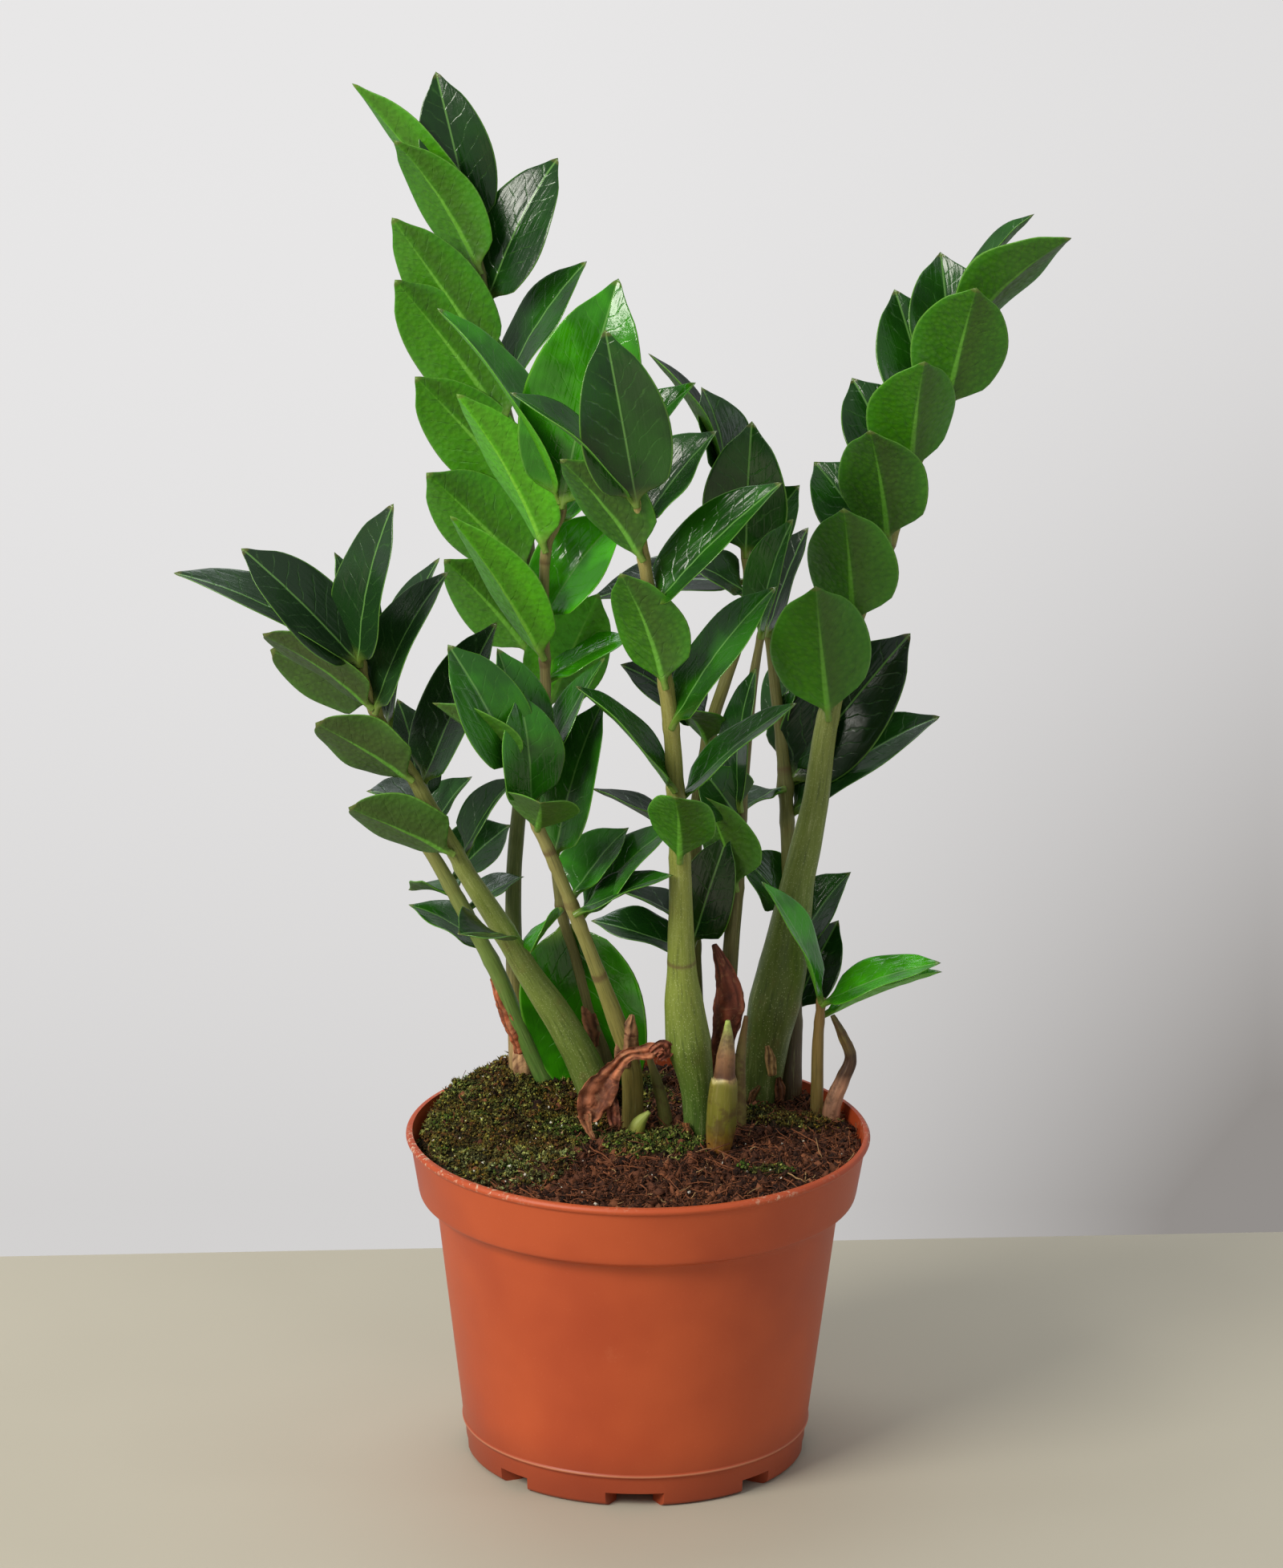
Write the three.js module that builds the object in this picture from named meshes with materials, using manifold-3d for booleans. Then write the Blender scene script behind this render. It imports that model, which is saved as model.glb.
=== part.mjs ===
// A potted ZZ plant: leafy fronds, sprouts and dry sheaths standing in a filled nursery pot.
// Millimetres, +Z up. The origin is the middle of the pot's underside, and the plant's front faces -Y.
import * as THREE from "three";
import { mergeVertices } from "three/addons/utils/BufferGeometryUtils.js";
import Module from "manifold-3d";

// ---- Driving dimensions ----
const GAP = 0.3; // clearance between pieces that touch
const SLIVER = 0.02; // edges shorter than this are merged away

const POT_HEIGHT = 123;
const RIM_RADIUS = 85; // outside of the rolled lip
const RIM_INSIDE = 82.6;
const COLLAR_HEIGHT = 22;
const COLLAR_RADIUS = 80.3; // at the collar's lower edge
const NECK_RADIUS = 73.6; // of the wall, just under the collar
const FOOT_RING_HEIGHT = 12.7; // the fine step low on the wall
const FOOT_RING_RADIUS = 63.9;
const FOOT_RADIUS = 60.5; // where the rounded bottom edge meets the table
const WALL = 1.4;
const POT_SIDES = 44;

const CHANNEL_COUNT = 8; // drainage channels, wide and narrow in turn
const CHANNEL_HEIGHT = 5.5;
const CHANNEL_INNER_END = 34; // distance of a channel's closed end from the axis
const CHEEK_DEPTH = 9; // how far in from the wall a channel's mouth flares
const WIDE_CHANNEL = { half: 6.6, mouth: 12 };
const NARROW_CHANNEL = { half: 3.8, mouth: 7.5 };
const DRAIN_RADIUS = 3.4;
const DRAIN_DISTANCE = 42;

const SOIL_EDGE_LEVEL = 118.5; // against the wall
const SOIL_BOTTOM = WALL + GAP;
const SOIL_RINGS = [72, 56, 38, 19]; // radii of the rings of the soil's surface
const SOIL_CROWN = 4; // how much higher the middle stands
const MOSS_MOUND = { x: -44, y: 46, height: 9, spread: 38 }; // the higher ground behind and to the left
const SOIL_LUMPS = 0.9;
const SOIL_SIDES = 30;

const STEM_SIDES = 6;
const LEAF_RINGS = 6;
const LEAF_THICKNESS = 1.5; // along the midrib
const LEAF_FOLD = 0.2; // how much the margins rise, as a share of the half width
const LEAF_ARCH = 0.05; // how much the midrib bows, as a share of the length
const ARCH_SPREAD = 0.05; // seeded variation of the bow
const SEED = 17;

const FRONT = new THREE.Vector3(0, -0.94, 0.34); // the way the plant shows itself

// ---- Stems and leaves ----
// A stem is a list of points on its axis, from inside the soil to its tip: [x, y, z, radius].
// A leaf is [place, dx, dy, dz, width, facing]: its place along the stem from 0 to 1, its reach from the
// stem's axis to its tip, its width, and the way its upper side faces in degrees: 0 to the front, 90 up
// and inwards, 180 to the back.
const FRONDS = {
  frond_back_left: {
    stem: [
      [-44, 49, 108, 4.2],
      [-45, 49, 132, 3.6],
      [-47, 54, 200, 2.9],
      [-42, 58, 260, 2.6],
      [-41, 62, 305, 2.4],
      [-45, 67, 350, 2.1],
      [-55, 72, 394, 1.8],
      [-60, 77, 425, 1.4],
      [-67, 82, 456, 1],
    ],
    leaves: [
      [0.943, -44, 6, 55.2, 24, 118],
      [0.947, -13.9, 8, 57.8, 26, 4],
      [0.909, -29.7, -8, 51.1, 25, 142],
      [0.873, 24, 8, 53.6, 28, 25],
      [0.814, -36.5, -9, 55, 26, 164],
      [0.78, 29.7, 8, 47.4, 26, 52],
      [0.746, -41.5, -8, 56.7, 30, 164],
      [0.68, -38.5, -8, 43.8, 29, 164],
      [0.592, -37.2, -8, 39.9, 30, 160],
      [0.51, -31, -8, 37, 26, 160],
    ],
  },
  frond_front_left: {
    stem: [
      [-12, 32, 108, 3.3],
      [-12, 32, 137, 3.4],
      [-18, 31, 159, 2.6],
      [-24, 28, 181, 1.9],
      [-29, 25, 200, 1.9],
      [-33, 16, 242, 1.9],
      [-35, 7, 294, 1.9],
      [-35, 1, 339, 1.8],
      [-29, -4, 356, 1.4],
      [-32, -6, 365, 1],
    ],
    leaves: [
      [0.98, -40.8, -6, 71.6, 27, 71],
      [0.973, 18.5, -10, 83.6, 42, 10],
      [0.93, 49.9, 10, 50.8, 26, 47],
      [0.899, -30.9, -14, 59.1, 26, 128],
      [0.79, 26, 9, 38, 30, 32],
      [0.742, -31.8, -15, 56.4, 26, 128],
      [0.7, 30, 10, 16, 20, 54],
      [0.66, 18, 14, 40, 30, 160],
      [0.34, 17, 12, -70, 45, -12],
      [0.358, -10.3, -25, -9, 17, 75],
    ],
  },
  frond_centre: {
    stem: [
      [22, -3, 104, 4.6],
      [22, -3, 122, 4.8],
      [21, -5, 142, 6.2],
      [18, -7, 159, 8.2],
      [16, -9, 175, 7.2],
      [15, -12, 192, 5.1],
      [14, -20, 233, 3.8],
      [12, -27, 262, 3.2],
      [9, -36, 297, 2.8],
      [0, -48, 351, 2.2],
      [-3, -55, 377, 1.4],
    ],
    leaves: [
      [0.98, -11.3, -10, 62.9, 31, 5],
      [0.98, -42.6, -8, 41.5, 26, 70],
      [0.942, 25.3, 10, 33.1, 28, 47],
      [0.903, -28.4, -12, 37.5, 26, 137],
      [0.833, 44, -4, 45.6, 26, 47],
      [0.721, -15.8, -16, 44.7, 26, 148],
      [0.662, 35, -4, 52.2, 26, 52],
      [0.571, -33, -13, 41.9, 24, 72],
      [0.546, 40.1, 1, 38.4, 24, 68],
      [0.467, -2.1, -30, 31.3, 24, 163],
    ],
  },
  frond_right: {
    stem: [
      [46, 42, 104, 5.6],
      [46, 42, 120, 6.4],
      [47, 43, 138, 8],
      [50, 43, 158, 9.6],
      [53, 44, 173, 9],
      [58, 46, 204, 6.2],
      [64, 49, 234, 4.9],
      [68, 52, 264, 4.1],
      [77, 57, 300, 3.5],
      [89, 61, 329, 2.9],
      [97, 64, 355, 2.5],
      [110, 68, 381, 1.9],
      [117, 74, 419, 1.1],
    ],
    leaves: [
      [0.98, 22.6, 6, 36, 20, 74],
      [0.959, 36.7, -16, 39, 28, 129],
      [0.901, -4.3, 20, 43.2, 30, 8],
      [0.872, 9.3, -22, 49.5, 34, 174],
      [0.844, -14.2, 22, 46.4, 30, 12],
      [0.79, 3, -24, 47, 32, 165],
      [0.772, -18.6, 22, 34.8, 28, 12],
      [0.71, -8.1, -24, 47, 32, 161],
      [0.688, -23.6, 21, 30.7, 28, 12],
      [0.608, -4.3, -22, 50.2, 33, 164],
      [0.501, -6.4, -22, 55.5, 36, 178],
    ],
  },
  frond_left: {
    stem: [
      [-14, 18, 106, 6],
      [-14.5, 18, 124, 6.4],
      [-19, 17, 140, 6.7],
      [-29, 15, 160, 5.8],
      [-40, 12, 178, 4.8],
      [-52, 8, 200, 4],
      [-63, 4, 219, 3.4],
      [-67.5, 1, 229, 3.1],
      [-82, -8, 259, 2.4],
      [-95, -17, 286, 2],
      [-101, -24, 309, 1.4],
    ],
    leaves: [
      [0.98, -64, -4, 35, 25, 55],
      [0.98, -40, -10, 44, 26, 30],
      [0.98, 12, -14, 61, 26, 44],
      [0.97, -10, 18, 37, 26, 59],
      [0.9, -36.9, -10, 30.3, 24, 112],
      [0.89, 24, -6, 53, 26, 47],
      [0.897, -36.1, 16, 17, 27, 142],
      [0.84, 15.2, 18, 60.9, 26, 63],
      [0.751, -33.4, -12, 22.9, 27, 128],
      [0.723, 26.6, 4, 61, 26, 38],
      [0.67, -24, 10, 7, 26, 63],
      [0.6, -36.4, -14, 20.5, 27, 128],
      [0.568, 18.1, 10, 30.3, 22, 62],
      [0.431, -15, -26, 8.4, 24, 60],
    ],
  },
  frond_far_left: {
    stem: [
      [-30, 33, 108, 3.2],
      [-32.5, 33, 124, 3.4],
      [-43.5, 31, 150, 3.2],
      [-52, 30, 172, 3],
      [-62, 29, 192, 2.8],
      [-73, 28, 213, 2.6],
      [-79, 27, 224, 2.2],
      [-83, 27, 236, 1.5],
    ],
    leaves: [
      [0.98, -6, 14, 40, 22, 40],
      [0.9, 15, 12, 22, 22, 58],
      [0.77, 21, 14, 18, 26, 40],
      [0.719, -18.1, 18, -0.5, 22, 74],
      [0.68, 20, 12, 10, 20, 60],
      [0.535, -29.1, 14, 17.4, 24, 61],
    ],
  },
  frond_centre_left: {
    stem: [
      [-2, 0, 106, 4],
      [-2, 0, 128, 4],
      [-3, -3, 149, 3.7],
      [-9, -7, 169, 3.2],
      [-15, -12, 187, 2.7],
      [-25, -20, 216, 2.3],
      [-33, -27, 238, 2.2],
      [-37, -30, 248, 2.1],
      [-42, -35, 263, 1.8],
      [-45, -39, 274, 1.3],
    ],
    leaves: [
      [0.98, -23, -8, 47, 26, 25],
      [0.97, -29, -10, 28, 24, 115],
      [0.95, -8, 10, 45, 26, 47],
      [0.886, -3.1, -10, 44.3, 24, 28],
      [0.87, 25, 10, 54, 24, 68],
      [0.837, 1.5, -34, 19.4, 26, 180],
      [0.741, 15.4, 6, 58.3, 26, 32],
      [0.64, 19, 18, 23, 26, 47],
      [0.62, 34.1, -6, 15.9, 24, 68],
      [0.588, 32.7, 6, 35.7, 28, 58],
    ],
  },
  frond_middle: {
    stem: [
      [22, 25, 108, 3.6],
      [21, 26, 148, 3.4],
      [19, 26, 194, 3],
      [20, 28, 233, 2.7],
      [25, 30, 267, 2.4],
      [30, 30, 285, 2.2],
      [37, 32, 309, 2],
      [37, 34, 332, 1.7],
      [29, 37, 358, 1.1],
    ],
    leaves: [
      [0.98, -27, 6, 51.1, 20, 78],
      [0.99, -8.4, 12, 33.5, 26, 47],
      [0.89, 1, -12, 51, 30, 11],
      [0.88, 18, 6, 26, 24, 30],
      [0.846, -55.7, 6, -8, 24, 50],
      [0.83, -22, -4, 14, 22, 50],
      [0.62, -31.2, 6, 24.4, 24, 40],
      [0.61, -11, -24, 20, 20, 116],
      [0.45, -36, 2, 22, 20, 75],
      [0.33, -24, 2, 14, 20, 70],
      [0.31, 12, -18, 46, 22, 15],
      [0.3, -36, -6, 12, 24, 57],
    ],
  },
  frond_inner: {
    stem: [
      [31, 21, 106, 3.2],
      [31, 21, 126, 3.2],
      [33, 19, 182, 3],
      [35, 16, 213, 2.7],
      [36, 14, 242, 2.4],
      [39, 13, 283, 2],
      [43, 13, 311, 1.2],
    ],
    leaves: [
      [0.98, 10, -15, 46, 19, 50],
      [0.66, 4, -7, 54, 22, 65],
      [0.64, -14, -4, 20, 22, 20],
      [0.51, -11, -12, 38, 24, 140],
    ],
  },
  frond_back_right: {
    stem: [
      [56.5, 47.5, 108, 4],
      [56.5, 48, 126, 4.4],
      [57, 54, 146, 3.7],
      [57, 59, 168, 3],
      [55, 69, 206, 2.7],
      [53, 76, 238, 2.4],
      [49, 85, 270, 2],
      [46, 90, 290, 1.2],
    ],
    leaves: [
      [0.98, 14, -4, 41, 24, 57],
      [0.76, 8, 16, 34, 22, 58],
      [0.676, 44.2, 2, 58.5, 34, 10],
      [0.69, 20, 8, 37, 28, 30],
      [0.67, 41, 10, 17, 22, 66],
      [0.68, -17, -8, -8, 22, 66],
      [0.61, 54.2, 2, 41.3, 26, 45],
      [0.42, -18, 2, 23, 26, 40],
      [0.33, 20, 12, 31, 26, 47],
      [0.21, 16, 12, 35, 22, 20],
    ],
  },
  frond_small_right: {
    stem: [
      [66, 30, 108, 2.4],
      [66, 30, 128, 2.4],
      [66, 30, 147, 2.1],
      [67, 30, 164, 1.4],
    ],
    leaves: [
      [0.99, -20, -14, 50, 22, 68],
      [0.97, 42, -10, 19, 24, 61],
      [0.85, 44, 8, 16, 20, 73],
    ],
  },
  sprout_right: {
    stem: [
      [71, 23, 108, 3.2],
      [71.5, 23.5, 124, 3.3],
      [75, 24, 134, 2.7],
      [78, 24.5, 143, 2.2],
      [74.5, 25, 152, 1.8],
      [71, 25.5, 159, 0.8],
    ],
    leaves: [],
  },
  sprout_front: {
    stem: [
      [29, -17, 104, 3.2],
      [29, -17, 118, 4.2],
      [30, -17, 130, 5.5],
      [30.5, -17, 141, 5.4],
      [31, -17, 148, 4.7],
      [31, -17, 150, 3.9],
      [31.5, -17, 158, 3.4],
      [32, -17, 165, 2.1],
      [32, -17, 171, 0.8],
    ],
    leaves: [],
  },
  sprout_brown: {
    stem: [
      [37, 6, 106, 2.6],
      [37, 6, 128, 2.6],
      [37, 6, 148, 2.1],
      [39, 6, 165, 0.8],
    ],
    leaves: [],
  },
  sheath_red_brown: {
    stem: [
      [29, 10, 108, 2.4],
      [29, 10, 128, 2.6],
      [30, 10, 150, 3.8],
      [33, 10, 168, 5.8],
      [31, 10, 180, 3.4],
      [27, 10, 191, 0.9],
    ],
    leaves: [],
  },
  shoot_green: {
    stem: [
      [-2, -9, 110, 3],
      [-2, -9, 120, 3.6],
      [0, -9, 128, 2.8],
      [4, -9, 133, 0.8],
    ],
    leaves: [],
  },
  stub_green: {
    stem: [
      [11, 7, 106, 2.8],
      [10, 7, 124, 2.6],
      [7, 7, 138, 2],
      [3, 8, 150, 0.9],
    ],
    leaves: [],
  },
  sheath_orange: {
    stem: [
      [-42, 40, 112, 3.6],
      [-43, 40, 134, 3.8],
      [-44, 38, 148, 2.2],
      [-51, 37, 166, 0.8],
    ],
    leaves: [],
  },
};

// The dry leaf is a crumpled ribbon: points on its middle line, its width, and the way it faces.
const DRY_LEAF = {
  line: [
    [-18, -15, 124.5],
    [-15.5, -13, 135],
    [-13.5, -12, 145],
    [-8, -12, 151],
    [1, -12, 154.5],
    [9, -13, 158],
  ],
  width: 15,
  facing: [0.2, -0.9, 0.3],
  fold: 0.5,
};

const COLOURS = {
  pot: 0xb8563a,
  soil: 0x3c2319,
  leaf: 0x2f5f22,
  dry: 0x7a4a32,
};

// ---- Solids ----
const wasm = await Module();
wasm.setup();

// A closed three.js geometry as a manifold-3d solid.
function toSolid(geometry) {
  geometry.deleteAttribute("normal");
  geometry.deleteAttribute("uv");
  const merged = mergeVertices(geometry, 1e-4);
  return new wasm.Manifold(
    new wasm.Mesh({
      numProp: 3,
      vertProperties: merged.attributes.position.array,
      triVerts: new Uint32Array(merged.index.array),
    }),
  );
}

// A manifold-3d solid as a three.js geometry, without the slivers that joining leaves.
function toGeometry(solid) {
  const mesh = solid.simplify(SLIVER).getMesh();
  const geometry = new THREE.BufferGeometry();
  geometry.setAttribute("position", new THREE.BufferAttribute(mesh.vertProperties, 3));
  geometry.setIndex(new THREE.BufferAttribute(mesh.triVerts, 1));
  return geometry;
}

// Moves every vertex of a geometry to place(vertex).
function reshape(geometry, place) {
  const position = geometry.attributes.position;
  const vertex = new THREE.Vector3();
  for (let i = 0; i < position.count; i++) {
    const moved = place(vertex.fromBufferAttribute(position, i));
    position.setXYZ(i, moved.x, moved.y, moved.z);
  }
  return geometry;
}

// A profile of [radius, height] points turned round the Z axis.
function turned(profile, sides) {
  const points = profile.map(([radius, height]) => new THREE.Vector2(radius, height));
  return new THREE.LatheGeometry(points, sides).rotateX(Math.PI / 2);
}

// Repeatable pseudo-random numbers from 0 to 1.
function makeRandom(seed) {
  let state = seed;
  return () => {
    state = (state * 16807) % 2147483647;
    return state / 2147483647;
  };
}

// ---- Pot ----
const COLLAR_BOTTOM = POT_HEIGHT - COLLAR_HEIGHT;

function potOutside() {
  return turned(
    [
      [0, 0],
      [FOOT_RADIUS, 0],
      [FOOT_RADIUS + 1.8, 1.2],
      [FOOT_RING_RADIUS - 0.5, FOOT_RING_HEIGHT - 0.6],
      [FOOT_RING_RADIUS, FOOT_RING_HEIGHT],
      [NECK_RADIUS, COLLAR_BOTTOM - 6],
      [NECK_RADIUS + 1, COLLAR_BOTTOM - 3.2],
      [COLLAR_RADIUS - 2.4, COLLAR_BOTTOM - 2],
      [COLLAR_RADIUS - 0.5, COLLAR_BOTTOM - 0.9],
      [COLLAR_RADIUS, COLLAR_BOTTOM + 1],
      [RIM_RADIUS - 1.7, POT_HEIGHT - 3],
      [RIM_RADIUS - 0.5, POT_HEIGHT - 2.4],
      [RIM_RADIUS, POT_HEIGHT - 1.3],
      [RIM_RADIUS - 0.8, POT_HEIGHT],
      [0, POT_HEIGHT],
    ],
    POT_SIDES,
  );
}

// The wall's inner side, moved inwards by inset, from the floor up to the given level.
function insideProfile(inset, floor, top) {
  const shelf = COLLAR_BOTTOM + 2;
  const slope = (RIM_INSIDE - COLLAR_RADIUS + WALL) / (POT_HEIGHT - shelf);
  return [
    [0, floor],
    [FOOT_RADIUS - WALL - inset, floor],
    [FOOT_RING_RADIUS - WALL - 0.6 - inset, FOOT_RING_HEIGHT],
    [NECK_RADIUS - WALL - inset, COLLAR_BOTTOM - 5],
    [NECK_RADIUS - WALL + 0.9 - inset, COLLAR_BOTTOM - 1.6],
    [COLLAR_RADIUS - WALL - inset, shelf],
    [RIM_INSIDE - slope * (POT_HEIGHT - top) - inset, top],
  ];
}

// One drainage channel as seen from below: a strip with a round inner end and a flared mouth.
function channelSolid({ half, mouth }, grow, height) {
  const wallRadius = FOOT_RING_RADIUS;
  const halfWidth = half + grow;
  const shape = new THREE.Shape();
  shape.moveTo(CHANNEL_INNER_END, halfWidth);
  shape.absarc(CHANNEL_INNER_END, 0, halfWidth, Math.PI / 2, (3 * Math.PI) / 2, false);
  shape.lineTo(wallRadius - CHEEK_DEPTH, -halfWidth);
  shape.lineTo(wallRadius, -mouth - grow);
  shape.lineTo(wallRadius + 8, -mouth - grow);
  shape.lineTo(wallRadius + 8, mouth + grow);
  shape.lineTo(wallRadius, mouth + grow);
  shape.lineTo(wallRadius - CHEEK_DEPTH, halfWidth);
  const below = 5;
  const options = { depth: below + height + grow, bevelEnabled: false, curveSegments: 3 };
  return new THREE.ExtrudeGeometry(shape, options).translate(0, 0, -below);
}

// All the channels, each widened and raised by grow, as solids.
function channels(grow) {
  return Array.from({ length: CHANNEL_COUNT }, (_, i) => {
    const kind = i % 2 ? NARROW_CHANNEL : WIDE_CHANNEL;
    const angle = (i * 2 * Math.PI) / CHANNEL_COUNT;
    return toSolid(channelSolid(kind, grow, CHANNEL_HEIGHT).rotateZ(angle));
  });
}

function drainHoles() {
  return Array.from({ length: CHANNEL_COUNT / 2 }, (_, i) => {
    const hole = new THREE.CylinderGeometry(DRAIN_RADIUS, DRAIN_RADIUS, 8, 10).rotateX(Math.PI / 2);
    hole.translate(DRAIN_DISTANCE, 0, CHANNEL_HEIGHT);
    return toSolid(hole.rotateZ((i * 4 * Math.PI) / CHANNEL_COUNT));
  });
}

const cut = (body, tools) => tools.reduce((left, tool) => left.subtract(tool), body);
const fuse = ([first, ...rest]) => rest.reduce((whole, piece) => whole.add(piece), first);

function potSolid() {
  const open = [...insideProfile(0, WALL, POT_HEIGHT + 1), [0, POT_HEIGHT + 1]];
  const cavity = cut(toSolid(turned(open, POT_SIDES)), channels(WALL));
  return cut(toSolid(potOutside()), [...channels(0), cavity, ...drainHoles()]);
}

// ---- Soil ----
// How much the soil's surface stands above its edge at (x, y).
function soilRise(x, y) {
  const edge = SOIL_RINGS[0];
  const crown = SOIL_CROWN * Math.max(0, 1 - (x * x + y * y) / (edge * edge));
  const away = Math.hypot(x - MOSS_MOUND.x, y - MOSS_MOUND.y) / MOSS_MOUND.spread;
  const lumps = SOIL_LUMPS * Math.sin(x * 0.31 + 1) * Math.sin(y * 0.27 + 2);
  return crown + MOSS_MOUND.height * Math.exp(-away * away) + lumps;
}

function soilSolid(stems) {
  const wall = insideProfile(GAP, SOIL_BOTTOM, SOIL_EDGE_LEVEL);
  const surface = SOIL_RINGS.map((radius) => [radius, SOIL_EDGE_LEVEL]);
  const profile = [...wall, ...surface, [0, SOIL_EDGE_LEVEL]];
  const level = (p) => (p.z < SOIL_EDGE_LEVEL - 1 ? p : p.setZ(p.z + soilRise(p.x, p.y)));
  const body = toSolid(reshape(turned(profile, SOIL_SIDES), level));
  const holes = stems.map((points) => stemSolid(points, GAP));
  return cut(body, [...channels(WALL + GAP), ...holes]);
}

// ---- Stems ----
const axisOf = (points) =>
  new THREE.CatmullRomCurve3(
    points.map(([x, y, z]) => new THREE.Vector3(x, y, z)),
    false,
    "catmullrom",
  );

// A round stem along its points. grow widens and lengthens it, to cut its hole in the soil.
function stemSolid(points, grow = 0) {
  const curve = axisOf(points);
  const spans = points.length - 1;
  const toCorner = 1 / Math.cos(Math.PI / STEM_SIDES);
  const round = new THREE.CylinderGeometry(1, 1, 1, STEM_SIDES, spans);
  return toSolid(
    reshape(round, (v) => {
      const t = THREE.MathUtils.clamp(v.y + 0.5, 0, 1);
      const span = Math.min(Math.floor(t * spans), spans - 1);
      const [from, to] = [points[span][3], points[span + 1][3]];
      const radius = THREE.MathUtils.lerp(from, to, t * spans - span) + grow * toCorner;
      const along = curve.getTangent(t);
      const side = new THREE.Vector3(0, 1, 0).cross(along).normalize();
      const across = side.clone().cross(along);
      const centre = curve.getPoint(t);
      if (t === 0) centre.addScaledVector(along, -grow);
      return centre.addScaledVector(side, v.x * radius).addScaledVector(across, v.z * radius);
    }),
  );
}

// ---- Leaves ----
// Half width of a leaf as a share of its widest, at u from its round foot (0) to its point (1).
function leafOutline(u) {
  return Math.pow(u, 0.5) * Math.pow(1 - u, 0.62) * 2.16;
}

// A thin blade along a curve, with its margins raised towards its upper side. facing gives the side that
// its upper side turns to.
function bladeSolid(curve, width, facing, fold, rings = LEAF_RINGS) {
  const ball = new THREE.SphereGeometry(1, 4, rings);
  return toSolid(
    reshape(ball, (v) => {
      const u = Math.acos(THREE.MathUtils.clamp(v.y, -1, 1)) / Math.PI;
      const ring = Math.hypot(v.x, v.z);
      const middle = curve.getPoint(u);
      if (ring < 1e-6) return middle;
      const along = curve.getTangent(u);
      const upper = facing.clone().addScaledVector(along, -facing.dot(along)).normalize();
      const side = upper.clone().cross(along);
      const half = (width / 2) * leafOutline(u);
      const across = v.x / ring;
      const thick = (LEAF_THICKNESS / 2) * (v.z / ring) * (0.6 + 0.4 * Math.sin(Math.PI * u));
      middle.addScaledVector(side, across * half);
      return middle.addScaledVector(upper, thick + fold * half * Math.abs(across));
    }),
  );
}

// The way a leaf's upper side faces: turned from the front, about the leaf, by its facing angle.
function upperSide(reach, degrees) {
  const along = reach.clone().normalize();
  const front = FRONT.clone().addScaledVector(along, -FRONT.dot(along)).normalize();
  const up = along.clone().cross(front).multiplyScalar(reach.x < 0 ? 1 : -1);
  const angle = THREE.MathUtils.degToRad(degrees);
  return front.multiplyScalar(Math.cos(angle)).addScaledVector(up, Math.sin(angle));
}

function leafSolid(stemAxis, [place, dx, dy, dz, width, facing], bow) {
  const foot = stemAxis.getPointAt(place);
  const reach = new THREE.Vector3(dx, dy, dz);
  const upper = upperSide(reach, facing);
  const tip = foot.clone().add(reach);
  const middle = foot.clone().addScaledVector(reach, 0.5).addScaledVector(upper, bow * reach.length());
  const midrib = new THREE.QuadraticBezierCurve3(foot, middle, tip);
  return bladeSolid(midrib, width, upper, LEAF_FOLD);
}

function frondSolid({ stem, leaves }, random) {
  const axis = axisOf(stem);
  const bow = () => 2 * (LEAF_ARCH + ARCH_SPREAD * (random() - 0.5));
  return fuse([stemSolid(stem), ...leaves.map((leaf) => leafSolid(axis, leaf, bow()))]);
}

function dryLeafSolid({ line, width, facing, fold }) {
  return bladeSolid(axisOf(line), width, new THREE.Vector3(...facing), fold, 9);
}

// ---- The plant ----
function material(colour, roughness) {
  return new THREE.MeshStandardMaterial({ color: colour, roughness, metalness: 0 });
}

const plant = new THREE.Group();

function addPiece(name, solid, look) {
  const mesh = new THREE.Mesh(toGeometry(solid), look);
  mesh.name = name;
  plant.add(mesh);
}

const green = material(COLOURS.leaf, 0.35);
const dry = material(COLOURS.dry, 0.8);
const DRY_PIECES = ["sheath_red_brown", "sheath_orange", "sprout_right", "sprout_brown"];
const random = makeRandom(SEED);

addPiece("pot", potSolid(), material(COLOURS.pot, 0.45));
addPiece("soil", soilSolid(Object.values(FRONDS).map(({ stem }) => stem)), material(COLOURS.soil, 0.95));
for (const [name, frond] of Object.entries(FRONDS)) {
  addPiece(name, frondSolid(frond, random), DRY_PIECES.includes(name) ? dry : green);
}
addPiece("dry_leaf", dryLeafSolid(DRY_LEAF), dry);

export default plant;
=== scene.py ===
"""The looks of a potted ZZ plant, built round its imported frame.

Everything is drawn in millimetres in the part's own frame: the origin is the middle of the pot's underside,
+Z is up and the plant's front faces -Y. Form.build() turns it into metres.
"""

import math
from types import SimpleNamespace

import bpy
import numpy as np
from mathutils import Matrix, Vector, noise


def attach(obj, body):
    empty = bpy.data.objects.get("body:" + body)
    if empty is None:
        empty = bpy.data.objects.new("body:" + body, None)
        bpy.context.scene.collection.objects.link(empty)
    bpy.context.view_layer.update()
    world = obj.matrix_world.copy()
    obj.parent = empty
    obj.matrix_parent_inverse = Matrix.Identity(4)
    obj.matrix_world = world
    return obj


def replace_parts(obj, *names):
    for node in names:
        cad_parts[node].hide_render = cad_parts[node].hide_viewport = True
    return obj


MM = 0.001

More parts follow.
